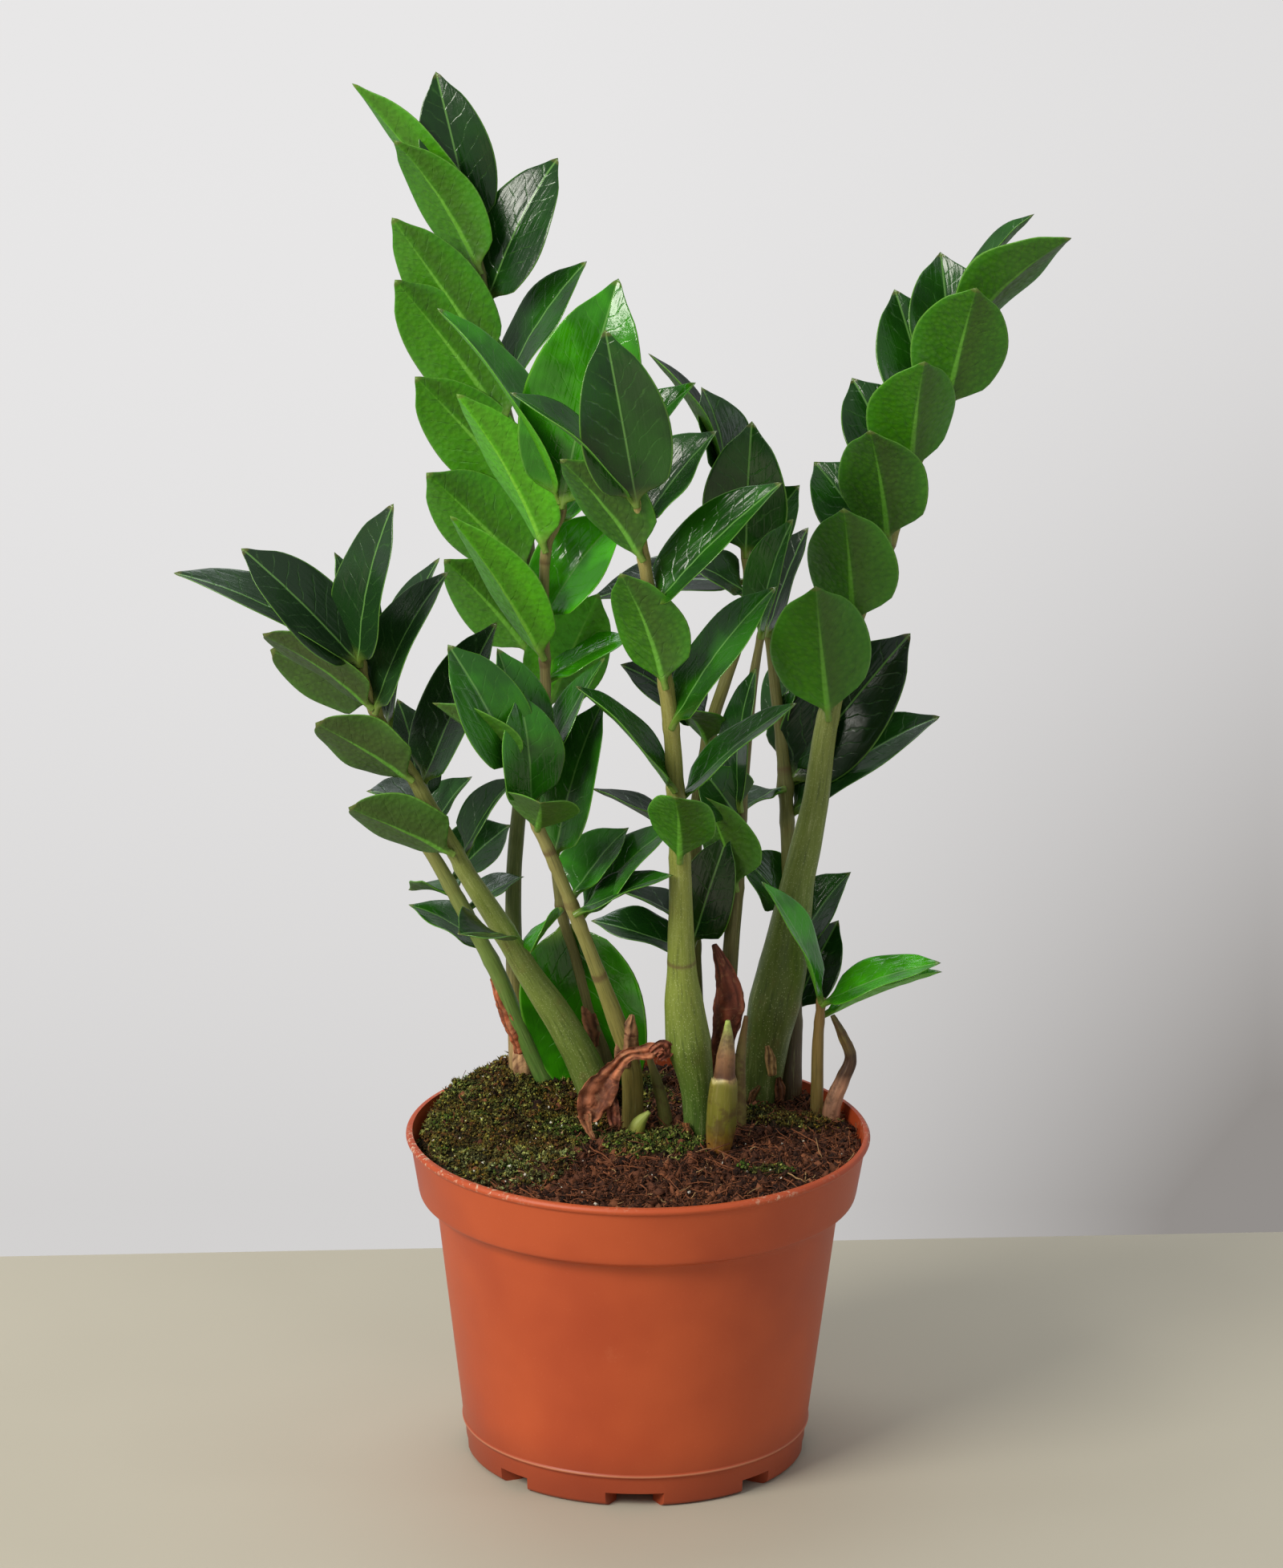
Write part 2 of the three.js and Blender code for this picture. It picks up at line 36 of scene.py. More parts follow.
# ---- The pot's and the soil's dimensions, as the part has them ----
POT_HEIGHT = 123
RIM_RADIUS = 85
RIM_INSIDE = 82.6
COLLAR_HEIGHT = 22
COLLAR_BOTTOM = POT_HEIGHT - COLLAR_HEIGHT
COLLAR_RADIUS = 80.3
NECK_RADIUS = 73.6
FOOT_RING_HEIGHT = 12.7
FOOT_RING_RADIUS = 63.9
FOOT_RADIUS = 60.5
WALL = 1.4
GAP = 0.3
CHANNEL_COUNT = 8
CHANNEL_HEIGHT = 5.5
CHANNEL_INNER_END = 34
CHEEK_DEPTH = 9
WIDE_CHANNEL = (6.6, 12)  # half width of the channel and of its mouth
NARROW_CHANNEL = (3.8, 7.5)
DRAIN_RADIUS = 3.4
DRAIN_DISTANCE = 42
SOIL_EDGE_LEVEL = 118.5
SOIL_CROWN = 4
SOIL_CROWN_RADIUS = 72
SOIL_LUMPS = 0.9
MOSS_MOUND = (-44, 46, 9, 38)  # x, y, height, spread

LEAF_FOLD = 0.2
LEAF_ARCH = 0.05
ARCH_SPREAD = 0.05
SEED = 17
FRONT = np.array([0, -0.94, 0.34])

# ---- Stems and leaves, as the part has them ----
# A stem is points on its axis, (x, y, z, radius). A leaf is (place, dx, dy, dz, width, facing): its place
# along the stem, its reach from the stem's axis to its tip, its width, and the way its upper side faces.
FRONDS = {
    "frond_back_left": {
        "stem": [
            (-44, 49, 108, 4.2), (-45, 49, 132, 3.6), (-47, 54, 200, 2.9), (-42, 58, 260, 2.6),
            (-41, 62, 305, 2.4), (-45, 67, 350, 2.1), (-55, 72, 394, 1.8), (-60, 77, 425, 1.4),
            (-67, 82, 456, 1),
        ],
        "leaves": [
            (0.943, -44, 6, 55.2, 24, 118), (0.947, -13.9, 8, 57.8, 26, 4),
            (0.909, -29.7, -8, 51.1, 25, 142), (0.873, 24, 8, 53.6, 28, 25),
            (0.814, -36.5, -9, 55, 26, 164), (0.78, 29.7, 8, 47.4, 26, 52),
            (0.746, -41.5, -8, 56.7, 30, 164), (0.68, -38.5, -8, 43.8, 29, 164),
            (0.592, -37.2, -8, 39.9, 30, 160), (0.51, -31, -8, 37, 26, 160),
        ],
    },
    "frond_front_left": {
        "stem": [
            (-12, 32, 108, 3.3), (-12, 32, 137, 3.4), (-18, 31, 159, 2.6), (-24, 28, 181, 1.9),
            (-29, 25, 200, 1.9), (-33, 16, 242, 1.9), (-35, 7, 294, 1.9), (-35, 1, 339, 1.8),
            (-29, -4, 356, 1.4), (-32, -6, 365, 1),
        ],
        "leaves": [
            (0.98, -40.8, -6, 71.6, 27, 71), (0.973, 18.5, -10, 83.6, 42, 10),
            (0.93, 49.9, 10, 50.8, 26, 47), (0.899, -30.9, -14, 59.1, 26, 128), (0.79, 26, 9, 38, 30, 32),
            (0.742, -31.8, -15, 56.4, 26, 128), (0.7, 30, 10, 16, 20, 54), (0.66, 18, 14, 40, 30, 160),
            (0.34, 17, 12, -70, 45, -12), (0.358, -10.3, -25, -9, 17, 75),
        ],
    },
    "frond_centre": {
        "stem": [
            (22, -3, 104, 4.6), (22, -3, 122, 4.8), (21, -5, 142, 6.2), (18, -7, 159, 8.2),
            (16, -9, 175, 7.2), (15, -12, 192, 5.1), (14, -20, 233, 3.8), (12, -27, 262, 3.2),
            (9, -36, 297, 2.8), (0, -48, 351, 2.2), (-3, -55, 377, 1.4),
        ],
        "leaves": [
            (0.98, -11.3, -10, 62.9, 31, 5), (0.98, -42.6, -8, 41.5, 26, 70),
            (0.942, 25.3, 10, 33.1, 28, 47), (0.903, -28.4, -12, 37.5, 26, 137),
            (0.833, 44, -4, 45.6, 26, 47), (0.721, -15.8, -16, 44.7, 26, 148),
            (0.662, 35, -4, 52.2, 26, 52), (0.571, -33, -13, 41.9, 24, 72), (0.546, 40.1, 1, 38.4, 24, 68),
            (0.467, -2.1, -30, 31.3, 24, 163),
        ],
    },
    "frond_right": {
        "stem": [
            (46, 42, 104, 5.6), (46, 42, 120, 6.4), (47, 43, 138, 8), (50, 43, 158, 9.6), (53, 44, 173, 9),
            (58, 46, 204, 6.2), (64, 49, 234, 4.9), (68, 52, 264, 4.1), (77, 57, 300, 3.5),
            (89, 61, 329, 2.9), (97, 64, 355, 2.5), (110, 68, 381, 1.9), (117, 74, 419, 1.1),
        ],
        "leaves": [
            (0.98, 22.6, 6, 36, 20, 74), (0.959, 36.7, -16, 39, 28, 129), (0.901, -4.3, 20, 43.2, 30, 8),
            (0.872, 9.3, -22, 49.5, 34, 174), (0.844, -14.2, 22, 46.4, 30, 12),
            (0.79, 3, -24, 47, 32, 165), (0.772, -18.6, 22, 34.8, 28, 12), (0.71, -8.1, -24, 47, 32, 161),
            (0.688, -23.6, 21, 30.7, 28, 12), (0.608, -4.3, -22, 50.2, 33, 164),
            (0.501, -6.4, -22, 55.5, 36, 178),
        ],
    },
    "frond_left": {
        "stem": [
            (-14, 18, 106, 6), (-14.5, 18, 124, 6.4), (-19, 17, 140, 6.7), (-29, 15, 160, 5.8),
            (-40, 12, 178, 4.8), (-52, 8, 200, 4), (-63, 4, 219, 3.4), (-67.5, 1, 229, 3.1),
            (-82, -8, 259, 2.4), (-95, -17, 286, 2), (-101, -24, 309, 1.4),
        ],
        "leaves": [
            (0.98, -64, -4, 35, 25, 55), (0.98, -40, -10, 44, 26, 30), (0.98, 12, -14, 61, 26, 44),
            (0.97, -10, 18, 37, 26, 59), (0.9, -36.9, -10, 30.3, 24, 112), (0.89, 24, -6, 53, 26, 47),
            (0.897, -36.1, 16, 17, 27, 142), (0.84, 15.2, 18, 60.9, 26, 63),
            (0.751, -33.4, -12, 22.9, 27, 128), (0.723, 26.6, 4, 61, 26, 38), (0.67, -24, 10, 7, 26, 63),
            (0.6, -36.4, -14, 20.5, 27, 128), (0.568, 18.1, 10, 30.3, 22, 62),
            (0.431, -15, -26, 8.4, 24, 60),
        ],
    },
    "frond_far_left": {
        "stem": [
            (-30, 33, 108, 3.2), (-32.5, 33, 124, 3.4), (-43.5, 31, 150, 3.2), (-52, 30, 172, 3),
            (-62, 29, 192, 2.8), (-73, 28, 213, 2.6), (-79, 27, 224, 2.2), (-83, 27, 236, 1.5),
        ],
        "leaves": [
            (0.98, -6, 14, 40, 22, 40), (0.9, 15, 12, 22, 22, 58), (0.77, 21, 14, 18, 26, 40),
            (0.719, -18.1, 18, -0.5, 22, 74), (0.68, 20, 12, 10, 20, 60), (0.535, -29.1, 14, 17.4, 24, 61),
        ],
    },
    "frond_centre_left": {
        "stem": [
            (-2, 0, 106, 4), (-2, 0, 128, 4), (-3, -3, 149, 3.7), (-9, -7, 169, 3.2), (-15, -12, 187, 2.7),
            (-25, -20, 216, 2.3), (-33, -27, 238, 2.2), (-37, -30, 248, 2.1), (-42, -35, 263, 1.8),
            (-45, -39, 274, 1.3),
        ],
        "leaves": [
            (0.98, -23, -8, 47, 26, 25), (0.97, -29, -10, 28, 24, 115), (0.95, -8, 10, 45, 26, 47),
            (0.886, -3.1, -10, 44.3, 24, 28), (0.87, 25, 10, 54, 24, 68), (0.837, 1.5, -34, 19.4, 26, 180),
            (0.741, 15.4, 6, 58.3, 26, 32), (0.64, 19, 18, 23, 26, 47), (0.62, 34.1, -6, 15.9, 24, 68),
            (0.588, 32.7, 6, 35.7, 28, 58),
        ],
    },
    "frond_middle": {
        "stem": [
            (22, 25, 108, 3.6), (21, 26, 148, 3.4), (19, 26, 194, 3), (20, 28, 233, 2.7),
            (25, 30, 267, 2.4), (30, 30, 285, 2.2), (37, 32, 309, 2), (37, 34, 332, 1.7),
            (29, 37, 358, 1.1),
        ],
        "leaves": [
            (0.98, -27, 6, 51.1, 20, 78), (0.99, -8.4, 12, 33.5, 26, 47), (0.89, 1, -12, 51, 30, 11),
            (0.88, 18, 6, 26, 24, 30), (0.846, -55.7, 6, -8, 24, 50), (0.83, -22, -4, 14, 22, 50),
            (0.62, -31.2, 6, 24.4, 24, 40), (0.61, -11, -24, 20, 20, 116), (0.45, -36, 2, 22, 20, 75),
            (0.33, -24, 2, 14, 20, 70), (0.31, 12, -18, 46, 22, 15), (0.3, -36, -6, 12, 24, 57),
        ],
    },
    "frond_inner": {
        "stem": [
            (31, 21, 106, 3.2), (31, 21, 126, 3.2), (33, 19, 182, 3), (35, 16, 213, 2.7),
            (36, 14, 242, 2.4), (39, 13, 283, 2), (43, 13, 311, 1.2),
        ],
        "leaves": [
            (0.98, 10, -15, 46, 19, 50), (0.66, 4, -7, 54, 22, 65), (0.64, -14, -4, 20, 22, 20),
            (0.51, -11, -12, 38, 24, 140),
        ],
    },
    "frond_back_right": {
        "stem": [
            (56.5, 47.5, 108, 4), (56.5, 48, 126, 4.4), (57, 54, 146, 3.7), (57, 59, 168, 3),
            (55, 69, 206, 2.7), (53, 76, 238, 2.4), (49, 85, 270, 2), (46, 90, 290, 1.2),
        ],
        "leaves": [
            (0.98, 14, -4, 41, 24, 57), (0.76, 8, 16, 34, 22, 58), (0.676, 44.2, 2, 58.5, 34, 10),
            (0.69, 20, 8, 37, 28, 30), (0.67, 41, 10, 17, 22, 66), (0.68, -17, -8, -8, 22, 66),
            (0.61, 54.2, 2, 41.3, 26, 45), (0.42, -18, 2, 23, 26, 40), (0.33, 20, 12, 31, 26, 47),
            (0.21, 16, 12, 35, 22, 20),
        ],
    },
    "frond_small_right": {
        "stem": [
            (66, 30, 108, 2.4), (66, 30, 128, 2.4), (66, 30, 147, 2.1), (67, 30, 164, 1.4),
        ],
        "leaves": [
            (0.99, -20, -14, 50, 22, 68), (0.97, 42, -10, 19, 24, 61), (0.85, 44, 8, 16, 20, 73),
        ],
    },
}

# Sprouts and sheaths are stems without leaves.
SHOOTS = {
    "sprout_right": [
        (71, 23, 108, 3.2), (71.5, 23.5, 124, 3.3), (75, 24, 134, 2.7), (78, 24.5, 143, 2.2),
        (74.5, 25, 152, 1.8), (71, 25.5, 159, 0.8),
    ],
    "sprout_front": [
        (29, -17, 104, 3.2), (29, -17, 118, 4.2), (30, -17, 130, 5.5), (30.5, -17, 141, 5.4),
        (31, -17, 148, 4.7), (31, -17, 150, 3.9), (31.5, -17, 158, 3.4), (32, -17, 165, 2.1),
        (32, -17, 171, 0.8),
    ],
    "sprout_brown": [
        (37, 6, 106, 2.6), (37, 6, 128, 2.6), (37, 6, 148, 2.1), (39, 6, 165, 0.8),
    ],
    "sheath_red_brown": [
        (29, 10, 108, 2.4), (29, 10, 128, 2.6), (30, 10, 150, 3.8), (33, 10, 168, 5.8),
        (31, 10, 180, 3.4), (27, 10, 191, 0.9),
    ],
    "shoot_green": [
        (-2, -9, 110, 3), (-2, -9, 120, 3.6), (0, -9, 128, 2.8), (4, -9, 133, 0.8),
    ],
    "stub_green": [
        (11, 7, 106, 2.8), (10, 7, 124, 2.6), (7, 7, 138, 2), (3, 8, 150, 0.9),
    ],
    "sheath_orange": [
        (-42, 40, 112, 3.6), (-43, 40, 134, 3.8), (-44, 38, 148, 2.2), (-51, 37, 166, 0.8),
    ],
}

# Dry scraps: (points on the middle line, widths along it, the way it faces, fold, crumple, colour).
DRY_LEAF = [
    (
        [
            (-18.5, -15, 131), (-17, -14, 137.6), (-13.2, -13, 144), (-9.3, -12, 150),
            (-4.2, -12, 155.7), (1.8, -12, 156.8), (6.8, -12, 158.4), (9.6, -13, 159.5),
        ],
        [6, 12.5, 13, 9, 5.4, 4.8, 6, 3.6], (0.2, -0.9, 0.3), 0.4, 1.1, (170, 104, 72),
    ),
    (
        [(-19.5, -14.5, 134), (-18, -15.5, 128.5), (-15.5, -16, 124.2)],
        [6, 3.4, 1.6], (-0.3, -1, 0), 0.3, 0.7, (150, 98, 66),
    ),
    (
        [(-11.5, -12, 144), (-9.8, -14, 136), (-8.8, -15, 129.5)],
        [3, 5, 3.6], (0.3, -1, 0), 0.5, 0.8, (130, 72, 48),
    ),
    (
        [(4.5, -12, 157), (8.3, -14, 160.2), (10.2, -12, 157.6), (7, -14, 155)],
        [3, 4, 4.4, 2.6], (0.2, -0.9, 0.3), 0.5, 1.2, (150, 84, 62),
    ),
]
SCRAPS = [
    # the sheath on the second frond from the left, and the one on the centre-left frond
    (
        [(-20.2, 29, 161), (-19.2, 28, 157.5), (-17.8, 27.8, 152), (-16.2, 27.6, 145)],
        [4.4, 6.4, 6, 2], (-0.2, -1, 0.1), -0.6, 0.5, (150, 100, 70),
    ),
    (
        [(-4, -7.4, 149), (-4.2, -8.3, 156), (-3.4, -9.2, 163), (-2.6, -9.4, 170.5)],
        [9, 9, 6.5, 1.6], (0.1, -1, 0.1), -0.55, 0.4, (150, 110, 78),
    ),
    # the orange strip outside the two stems on the left
    (
        [(-54.7, 30.2, 171), (-51.4, 28.8, 160.5), (-47.8, 28.6, 151), (-43.8, 30.2, 141)],
        [1.6, 5, 6.4, 5], (-0.7, -1, 0), -0.4, 0.7, (166, 92, 60),
    ),
    # the scar on the right frond's foot, and the torn skin at its edges
    (
        [(47.6, 34.6, 144), (48.6, 34.4, 139), (49.6, 34.8, 132)],
        [2.2, 4.2, 3], (0.1, -1, 0.1), -0.3, 0.5, (186, 150, 96),
    ),
    (
        [(51.8, 36.2, 131), (52.6, 36.8, 126), (52.6, 37.2, 121)],
        [2, 4.6, 4], (0.5, -1, 0), -0.3, 0.6, (112, 72, 44),
    ),
    (
        [(45, 35.6, 128), (43, 35.8, 124), (42, 36, 120)],
        [2, 4.4, 4], (-0.3, -1, 0), -0.3, 0.6, (104, 74, 42),
    ),
    # brown skin at the centre frond's foot
    (
        [(17, -9.6, 129), (17.6, -9.4, 125), (18.4, -9.4, 120)],
        [2, 5, 5], (-0.4, -1, 0), -0.4, 0.6, (140, 92, 52),
    ),
]

# ---- Colours, as 8-bit sRGB ----
TERRACOTTA = (192, 84, 42)
TERRACOTTA_DEEP = (174, 70, 34)
MINERAL = (214, 178, 150)
PEAT_DARK = (42, 25, 18)
PEAT = (94, 57, 40)
BARK = (140, 86, 56)
STRAW = (176, 140, 96)
PERLITE = (226, 222, 208)
MOSS_DEEP = (24, 26, 8)
MOSS_OLIVE = (118, 102, 28)
MOSS_GREEN = (70, 104, 26)
MOSS_TIP = (186, 190, 100)
MOSS_RUST = (130, 78, 34)
MOSS_FROST = (158, 172, 112)
DRY_PALE = (196, 150, 110)
DRY_DARK = (78, 38, 26)

# Stem colours of each frond: at its foot, above its swelling, and at its top.
STEM_COLOURS = {
    "frond_back_left": [(170, 140, 92), (104, 116, 62), (112, 116, 62)],
    "frond_front_left": [(112, 104, 62), (128, 124, 74), (146, 132, 84)],
    "frond_centre": [(78, 106, 40), (130, 144, 58), (164, 150, 88)],
    "frond_right": [(82, 100, 40), (112, 130, 54), (150, 146, 80)],
    "frond_left": [(100, 120, 50), (124, 142, 64), (150, 146, 82)],
    "frond_far_left": [(88, 126, 52), (112, 136, 62), (142, 140, 78)],
    "frond_centre_left": [(130, 116, 58), (144, 140, 74), (154, 148, 90)],
    "frond_middle": [(70, 78, 36), (104, 106, 52), (118, 114, 60)],
    "frond_inner": [(72, 60, 34), (98, 94, 52), (108, 102, 58)],
    "frond_back_right": [(78, 60, 36), (104, 106, 52), (118, 114, 60)],
    "frond_small_right": [(150, 128, 70), (166, 124, 84), (150, 104, 66)],
}
SWELLING_TOP = 175  # the foot's colour has given way to the second one here

# How bright the upper and the under sides of each frond's leaves are, and how dull, from 0 to 1.
LEAF_TONES = {
    "frond_back_left": (0.1, 0.42, 0.1),
    "frond_front_left": (0.95, 0.9, 0),
    "frond_centre": (0.18, 0.14, 0.1),
    "frond_right": (0.18, 0.14, 0.1),
    "frond_left": (0.08, 0.12, 0.9),
    "frond_far_left": (0.12, 0.15, 0.6),
    "frond_centre_left": (0.38, 0.3, 0.6),
    "frond_middle": (0.08, 0.12, 0.3),
    "frond_inner": (0.15, 0.2, 0.4),
    "frond_back_right": (0.12, 0.15, 0.3),
    # its own bright green, lifted further as painted light where the big stems shade its leaves
    "frond_small_right": (1.0, 1.0, 0),
}
BLUNT_FRONDS = {"frond_left"}  # their leaves' tips curl away, so they look blunt from underneath
BURIED_LEAF = ("frond_front_left", 8)  # its tip is sunk in the moss
BURIED_REACH = np.array([1.12, 1, 1.14])
BURIED_TONES = (0.5, 0.5, 0)
SPECKLED = {"frond_centre", "frond_right", "frond_left"}  # their stems carry pale specks
# Brown rings on the stems, where sheaths have dropped off: heights in mm.
NODE_RINGS = {
    "frond_centre": [192],
    "frond_centre_left": [186, 216, 238],
    "frond_front_left": [200, 298, 337],
    "frond_right": [329],
    "frond_middle": [236],
    "frond_back_right": [238],
}

# ---- Small helpers ----


def linear(colour):
    """An 8-bit sRGB colour as linear red, green and blue."""
    share = np.asarray(colour, float) / 255
    return np.where(share <= 0.04045, share / 12.92, ((share + 0.055) / 1.055) ** 2.4)


def rgba(colour):
    """An 8-bit sRGB colour as a socket's linear value."""
    return (*linear(colour), 1)


def smooth(value, low, high):
    """0 below low, 1 above high, and an even slope between them."""
    share = np.clip((np.asarray(value, float) - low) / (high - low), 0, 1)
    return share * share * (3 - 2 * share)


def mix(a, b, share):
    """a where share is 0, b where it is 1, and a mixture between them."""
    return a * (1 - share) + b * share


def unit(vectors):
    """Vectors scaled to length 1, along the last axis."""
    return vectors / np.linalg.norm(vectors, axis=-1, keepdims=True)


def circle(sides):
    """Evenly spaced points on the unit circle."""
    angles = np.arange(sides) * 2 * math.pi / sides
    return np.column_stack([np.cos(angles), np.sin(angles)])


def rough(points, size, seed=0.0):
    """Smooth noise from about -1 to 1 at points, with features of that size in mm."""
    scaled = np.asarray(points, float).reshape(-1, 3) / size + seed
    values = np.array([noise.noise(Vector(point)) for point in scaled])
    return values.reshape(np.shape(points)[:-1])


def lehmer(seed):
    """The part's repeatable numbers from 0 to 1."""
    state = seed
    while True:
        state = state * 16807 % 2147483647
        yield state / 2147483647


def add_object(name, data):
    """A new object in the scene."""
    thing = bpy.data.objects.new(name, data)
    bpy.context.scene.collection.objects.link(thing)
    return thing


class Form:
    """Points, faces and named vectors per point, gathered into one mesh."""

    def __init__(self, *names):
        self.points = []
        self.faces = []
        self.count = 0
        self.values = {name: [] for name in names}

    def add(self, points, faces, **values):
        points = np.asarray(points, float).reshape(-1, 3)
        self.faces.extend([[index + self.count for index in face] for face in faces])
        self.points.append(points)
        for name, store in self.values.items():
            store.append(np.broadcast_to(np.asarray(values[name], float), points.shape))
        self.count += len(points)

    def mesh(self, name):
        """The form in metres, with its named vectors."""
        mesh = bpy.data.meshes.new(name)
        mesh.from_pydata(np.vstack(self.points) * MM, [], self.faces)
        for key, store in self.values.items():
            layer = mesh.attributes.new(key, "FLOAT_VECTOR", "POINT")
            layer.data.foreach_set("vector", np.vstack(store).ravel())
        return mesh

    def build(self, name, material, slot):
        """The form as a smooth piece that rides on the part."""
        return finish_piece(self.mesh(name), name, material)


def finish_piece(mesh, name, material):
    """The mesh as a smooth piece that rides on the part."""
    mesh.name = name
    mesh.validate()
    mesh.materials.clear()
    mesh.materials.append(material)
    mesh.polygons.foreach_set("use_smooth", [True] * len(mesh.polygons))
    piece = add_object(name, mesh)
    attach(piece, "root")
    return piece


def skin(rings, start, end):
    """Points and faces of a closed tube through rings of points, each turning about the way of travel."""
    count, sides = rings.shape[:2]
    near = range(sides)
    after = [(place + 1) % sides for place in near]
    points = np.vstack([[start], rings.reshape(-1, 3), [end]])
    last = 1 + (count - 1) * sides
    faces = [(0, 1 + b, 1 + a) for a, b in zip(near, after)]
    for row in range(count - 1):
        low = 1 + row * sides
        faces += [(low + a, low + b, low + sides + b, low + sides + a) for a, b in zip(near, after)]
    faces += [(len(points) - 1, last + a, last + b) for a, b in zip(near, after)]
    return points, faces


def capped(values):
    """Values of rings, with the first and last ring's mean for the two end points."""
    flat = values.reshape(-1, values.shape[-1])
    return np.vstack([values[0].mean(axis=0), flat, values[-1].mean(axis=0)])


# ---- Smooth lines ----


class Axis:
    """A smooth line through points, the same as the part draws."""

    def __init__(self, points):
        path = np.array([point[:3] for point in points], float)
        self.spans = len(path) - 1
        self.knots = np.vstack([2 * path[0] - path[1], path, 2 * path[-1] - path[-2]])
        self.steps = np.linspace(0, 1, 201)
        lengths = np.linalg.norm(np.diff(self.at(self.steps), axis=0), axis=1)
        self.reached = np.concatenate([[0], np.cumsum(lengths)])
        self.length = self.reached[-1]

    def at(self, t):
        """Points at t, from 0 to 1 with the same share for each span."""
        place = np.clip(np.asarray(t, float), 0, 1) * self.spans
        span = np.minimum(place.astype(int), self.spans - 1)
        w = (place - span)[..., None]
        before, start, end, after = (self.knots[span + i] for i in range(4))
        leave, arrive = (end - before) / 2, (after - start) / 2
        bend = 2 * start - 2 * end + leave + arrive
        curve = 3 * end - 3 * start - 2 * leave - arrive
        return ((bend * w + curve) * w + leave) * w + start

    def even(self, share):
        """t at shares of the line's length."""
        return np.interp(np.asarray(share, float) * self.length, self.reached, self.steps)

    def along(self, t):
        """Unit tangents at t."""
        step = 1e-3
        t = np.asarray(t, float)
        return unit(self.at(t + step) - self.at(np.clip(t, 0, 1) - step * (t > step)))


def radius_at(stem, t):
    """The stem's radius at t, straight between its points."""
    return np.interp(t, np.linspace(0, 1, len(stem)), [point[3] for point in stem])


def tube(stem, sides, step):
    """Rings round a stem, each about step mm from the next: its axis, the places t of its rings, their
    centres, their mm along it, the unit vectors outwards, and what each point carries as stem."""
    axis = Axis(stem)
    t = axis.even(np.linspace(0, 1, int(axis.length / step)))
    along = axis.along(t)
    side = unit(np.cross([0, 1, 0], along))
    other = np.cross(along, side)
    cosine, sine = circle(sides).T
    out = side[:, None] * cosine[None, :, None] + other[:, None] * sine[None, :, None]
    mm_along = np.interp(t, axis.steps, axis.reached)
    around = np.stack(np.broadcast_arrays(cosine, sine, mm_along[:, None]), axis=-1)
    return axis, t, axis.at(t), mm_along, out, around


# ---- Materials ----

VEIN_SPACING = 6.8


def feed(socket, value):
    """Links a socket to an output, or sets its value."""
    if isinstance(value, bpy.types.NodeSocket):
        socket.id_data.links.new(value, socket)
    else:
        socket.default_value = value


def add_node(tree, kind, values=(), **settings):
    """A new node, with its inputs fed by order, or by index or name where values is a dict."""
    node = tree.nodes.new("ShaderNode" + kind)
    for key, value in settings.items():
        setattr(node, key, value)
    for key, value in values.items() if isinstance(values, dict) else enumerate(values):
        feed(node.inputs[key], value)
    return node


class Look:
    """A material, and short ways to make its nodes."""

    def __init__(self, name, roughness=0.5, specular=0.5):
        self.material = bpy.data.materials.new(name)
        self.material.use_nodes = True
        self.tree = self.material.node_tree
        self.shader = next(node for node in self.tree.nodes if node.type == "BSDF_PRINCIPLED")
        self.set(Roughness=roughness, Specular_IOR_Level=specular)

    def set(self, **sockets):
        for name, value in sockets.items():
            feed(self.shader.inputs[name.replace("_", " ")], value)

    def node(self, kind, values=(), **settings):
        return add_node(self.tree, kind, values, **settings)

    def maths(self, operation, a, b=0.0, c=0.0):
        return self.node("Math", (a, b, c), operation=operation).outputs[0]

    def times(self, a, b):
        return self.maths("MULTIPLY", a, b)

    def spread(self, value, low, high, to_low=0.0, to_high=1.0):
        """A smooth change from to_low to to_high as value goes from low to high."""
        values = (value, low, high, to_low, to_high)
        return self.node("MapRange", values, interpolation_type="SMOOTHSTEP").outputs[0]

    def blend(self, share, a, b):
        return self.node("Mix", {0: share, 6: a, 7: b}, data_type="RGBA").outputs[2]

    def layers(self, colour, *layers):
        """A colour with others laid over it in turn, each given as (its share, its 8-bit colour)."""
        for share, over in layers:
            colour = self.blend(share, colour, rgba(over))
        return colour

    def carried(self, name):
        """A vector or colour that the mesh carries."""
        return self.node("Attribute", attribute_name=name).outputs["Vector"]

    def parts(self, vector):
        return self.node("SeparateXYZ", (vector,)).outputs

    def place(self):
        """The point on the object, in metres."""
        return self.node("TexCoord").outputs["Object"]

    def vector(self, x, y, z):
        return self.node("CombineXYZ", (x, y, z)).outputs[0]

    def stretched(self, parts, scales):
        """A place with its parts scaled, so that a texture read there is drawn out."""
        return self.vector(*(self.times(part, scale) for part, scale in zip(parts, scales)))

    def noise(self, scale, detail=2.0, roughness=0.5, distortion=0.0, at=None):
        """Cloudy noise, read at the point on the object unless another place is given."""
        values = {
            "Vector": self.place() if at is None else at,
            "Scale": scale,
            "Detail": detail,
            "Roughness": roughness,
            "Distortion": distortion,
        }
        return self.node("TexNoise", values).outputs[0]

    def specks(self, scale, at):
        return self.node("TexVoronoi", {"Vector": at, "Scale": scale}).outputs["Distance"]

    def bump(self, height, distance, strength=1.0):
        """Bumps that high in mm."""
        values = {"Strength": strength, "Distance": distance * MM, "Height": height}
        self.set(Normal=self.node("Bump", values).outputs[0])


